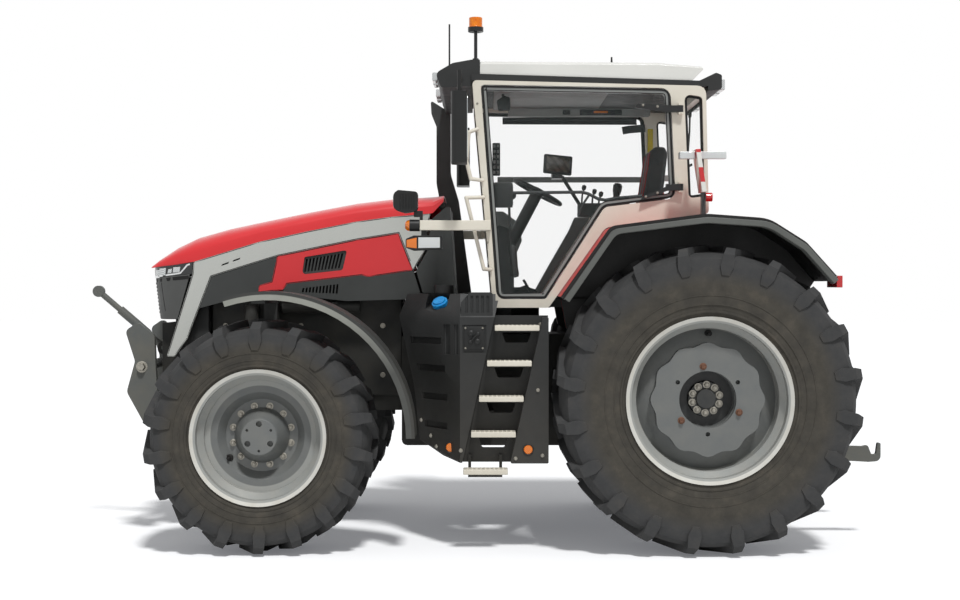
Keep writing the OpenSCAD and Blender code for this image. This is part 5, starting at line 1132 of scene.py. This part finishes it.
def engine_fittings():
    """Rocker cover, filters, air pipe and radiator fins, which show when the bonnet is up."""
    dark, bright, pipe = bmesh.new(), bmesh.new(), bmesh.new()
    slab(dark, mm(-1250, 0, 1849), *FACES_UP, box_outline(1080, 300, 40), 62, 16)
    for x in range(-1720, -869, 170):
        swept(dark, [mm(x, -105, 1910), mm(x, 105, 1910)], flat_section(26, 12, 4, 5), UP)
    for side in (LEFT, RIGHT):
        out = Vector((0, side, 0))
        for i in range(7):
            nut(bright, mm(-1740 + 163 * i, side * 128, 1910), UP, 15)
        for x in (-1650, -1500):
            turned(dark, mm(x, side * 239, 1640), out, [(0, 0), (50, 0), (50, 14), (44, 18), (0, 18)], 28)
            turned(dark, mm(x, side * 300, 1640), -UP,
                   [(0, -20), (46, -20), (52, -8), (52, 150), (46, 172), (0, 176)], 32)
            swept(dark, [mm(x, side * 238, 1652), mm(x, side * 300, 1652)], round_section(30), UP)
        for z in (1120, 1300, 1480):
            for x in (-1850, -1300, -700):
                nut(bright, mm(x, side * 240, z + 30), out, 24)
        for x in (-1400, -1240, -1080, -920):
            swept(dark, [mm(x, side * 238, 1700), mm(x, side * 290, 1700), mm(x + 40, side * 320, 1660)],
                  round_section(34, 18), UP)
        swept(dark, [mm(-1420, side * 322, 1650), mm(-860, side * 322, 1650)], round_section(46, 20), UP)
    for line in (AIR_DUCT, DUCT_END):
        swept(pipe, [mm(*place) for place in line], round_section(52, 22), SIDEWAYS)
    for i in range(30):
        y = -285 + 19.6 * i
        swept(pipe, [mm(-2200, y, 1300), mm(-2200, y, 1840)], flat_section(5, 4, 2), FORWARD)
    hand_over("engine_covers", dark, "chassis", SHADED_CASTING)
    hand_over("engine_bolts", bright, "chassis", ZINC)
    hand_over("air_pipe", pipe, "chassis", TRIM_BLACK)


def right_tank_fittings():
    """Battery box lids with their catches on the right tank."""
    lid, catches = bmesh.new(), bmesh.new()
    aim = OUT_LEFT
    for z0, z1 in ((700, 1080), (1110, 1500)):
        corners = ((-330, z0), (410, z0), (410, z1), (-330, z1))
        draped(lid, "fuel_tanks", [mm(x, 2000, z) for x, z in corners], aim, 9, steps=(14, 8))
        for x in (-250, 330):
            foot = from_side("fuel_tanks", RIGHT, x, z1 - 40) + SIDEWAYS * 0.008
            slab(catches, foot, *FACES_RIGHT, box_outline(54, 30, 8), 12, 4)
    hand_over("right_tank_lids", lid, "chassis", BLACK)
    hand_over("right_tank_catches", catches, "chassis", ZINC)


def cab_floor_fittings():
    """Lining over the right wheel arch, riser beside the floor mat, and the two foot pedals."""
    lining, riser = bmesh.new(), bmesh.new()
    arch = rounded([(470, 1712), (885, 2345), (762, 2345), (716, 2240), (556, 1962), (416, 1712)], 14)
    slab(lining, mm(0, 760, 0), *FACES_LEFT, arch, 70, 12)
    for along in (0.3, 0.6):
        low = mm(440 + 360 * along, 688, 1712 + 560 * along)
        swept(lining, [low, low + mm(62, 0, -26)], flat_section(6, 3), SIDEWAYS)
    hump = rounded([(150, 1712), (470, 1712), (448, 1772), (392, 1790), (232, 1790), (166, 1764)], 16)
    slab(riser, mm(0, 690, 0), *FACES_LEFT, hump, 190, 10)
    for y in (150, 265):
        swept(riser, [mm(250, y, 1716), mm(290, y, 1770), mm(372, y, 1800)], flat_section(22, 12, 4, 4),
              SIDEWAYS)
        slab(riser, mm(372, y, 1806), (0, -1, 0), (-0.5, 0, 0.86), box_outline(82, 104, 10), 14, 4)
        for i in range(4):
            rib = mm(384 - 9 * i, y, 1788 + 16 * i)
            swept(riser, [rib - mm(0, 32, 0), rib + mm(0, 32, 0)], flat_section(5, 4), FORWARD)
    hand_over("wheel_arch_lining", lining, "chassis", INSIDE_GREY)
    hand_over("floor_riser", riser, "chassis", INSIDE_DARK)


def service_panel():
    """Plate with plain couplings in the left tank's square recess, held by four screws."""
    plate, screws = bmesh.new(), bmesh.new()
    out = OUT_LEFT
    foot = from_side("fuel_tanks", LEFT, -30, 1449)
    slab(plate, foot, *FACES_LEFT, box_outline(136, 156, 10), 7, 2)
    face = foot + out * 0.006
    for x, z, wide in ((-22, 30, 21), (26, 26, 15), (-24, -28, 15), (22, -26, 22)):
        turned(plate, face + mm(x, 0, z), out,
               [(0, 0), (wide, 0), (wide, 7), (wide * 0.75, 10), (wide * 0.7, 16), (wide * 0.35, 18),
                (0, 15)], 24)
    swept(plate, [face + mm(-24, -12, -28), face + mm(0, -15, 4), face + mm(26, -12, 26)], round_section(6),
          FORWARD)
    for x in (-58, 58):
        for z in (-68, 68):
            nut(screws, face + mm(x, 0, z), out, 9)
    hand_over("service_panel", plate, "chassis", TRIM_BLACK)
    hand_over("service_panel_screws", screws, "chassis", ZINC)


photo_camera()
studio()
dress_nodes()
wheel_fittings()
engine_fittings()
right_tank_fittings()
cab_floor_fittings()
service_panel()
headlamp_fittings()
vent_screens()
panel_gaps()
door_fittings()
window_borders()
cab_lining()
driver_controls()
seat_pads()
lamp_fittings()
body_fasteners()

bpy.context.scene.view_settings.view_transform = "Standard"
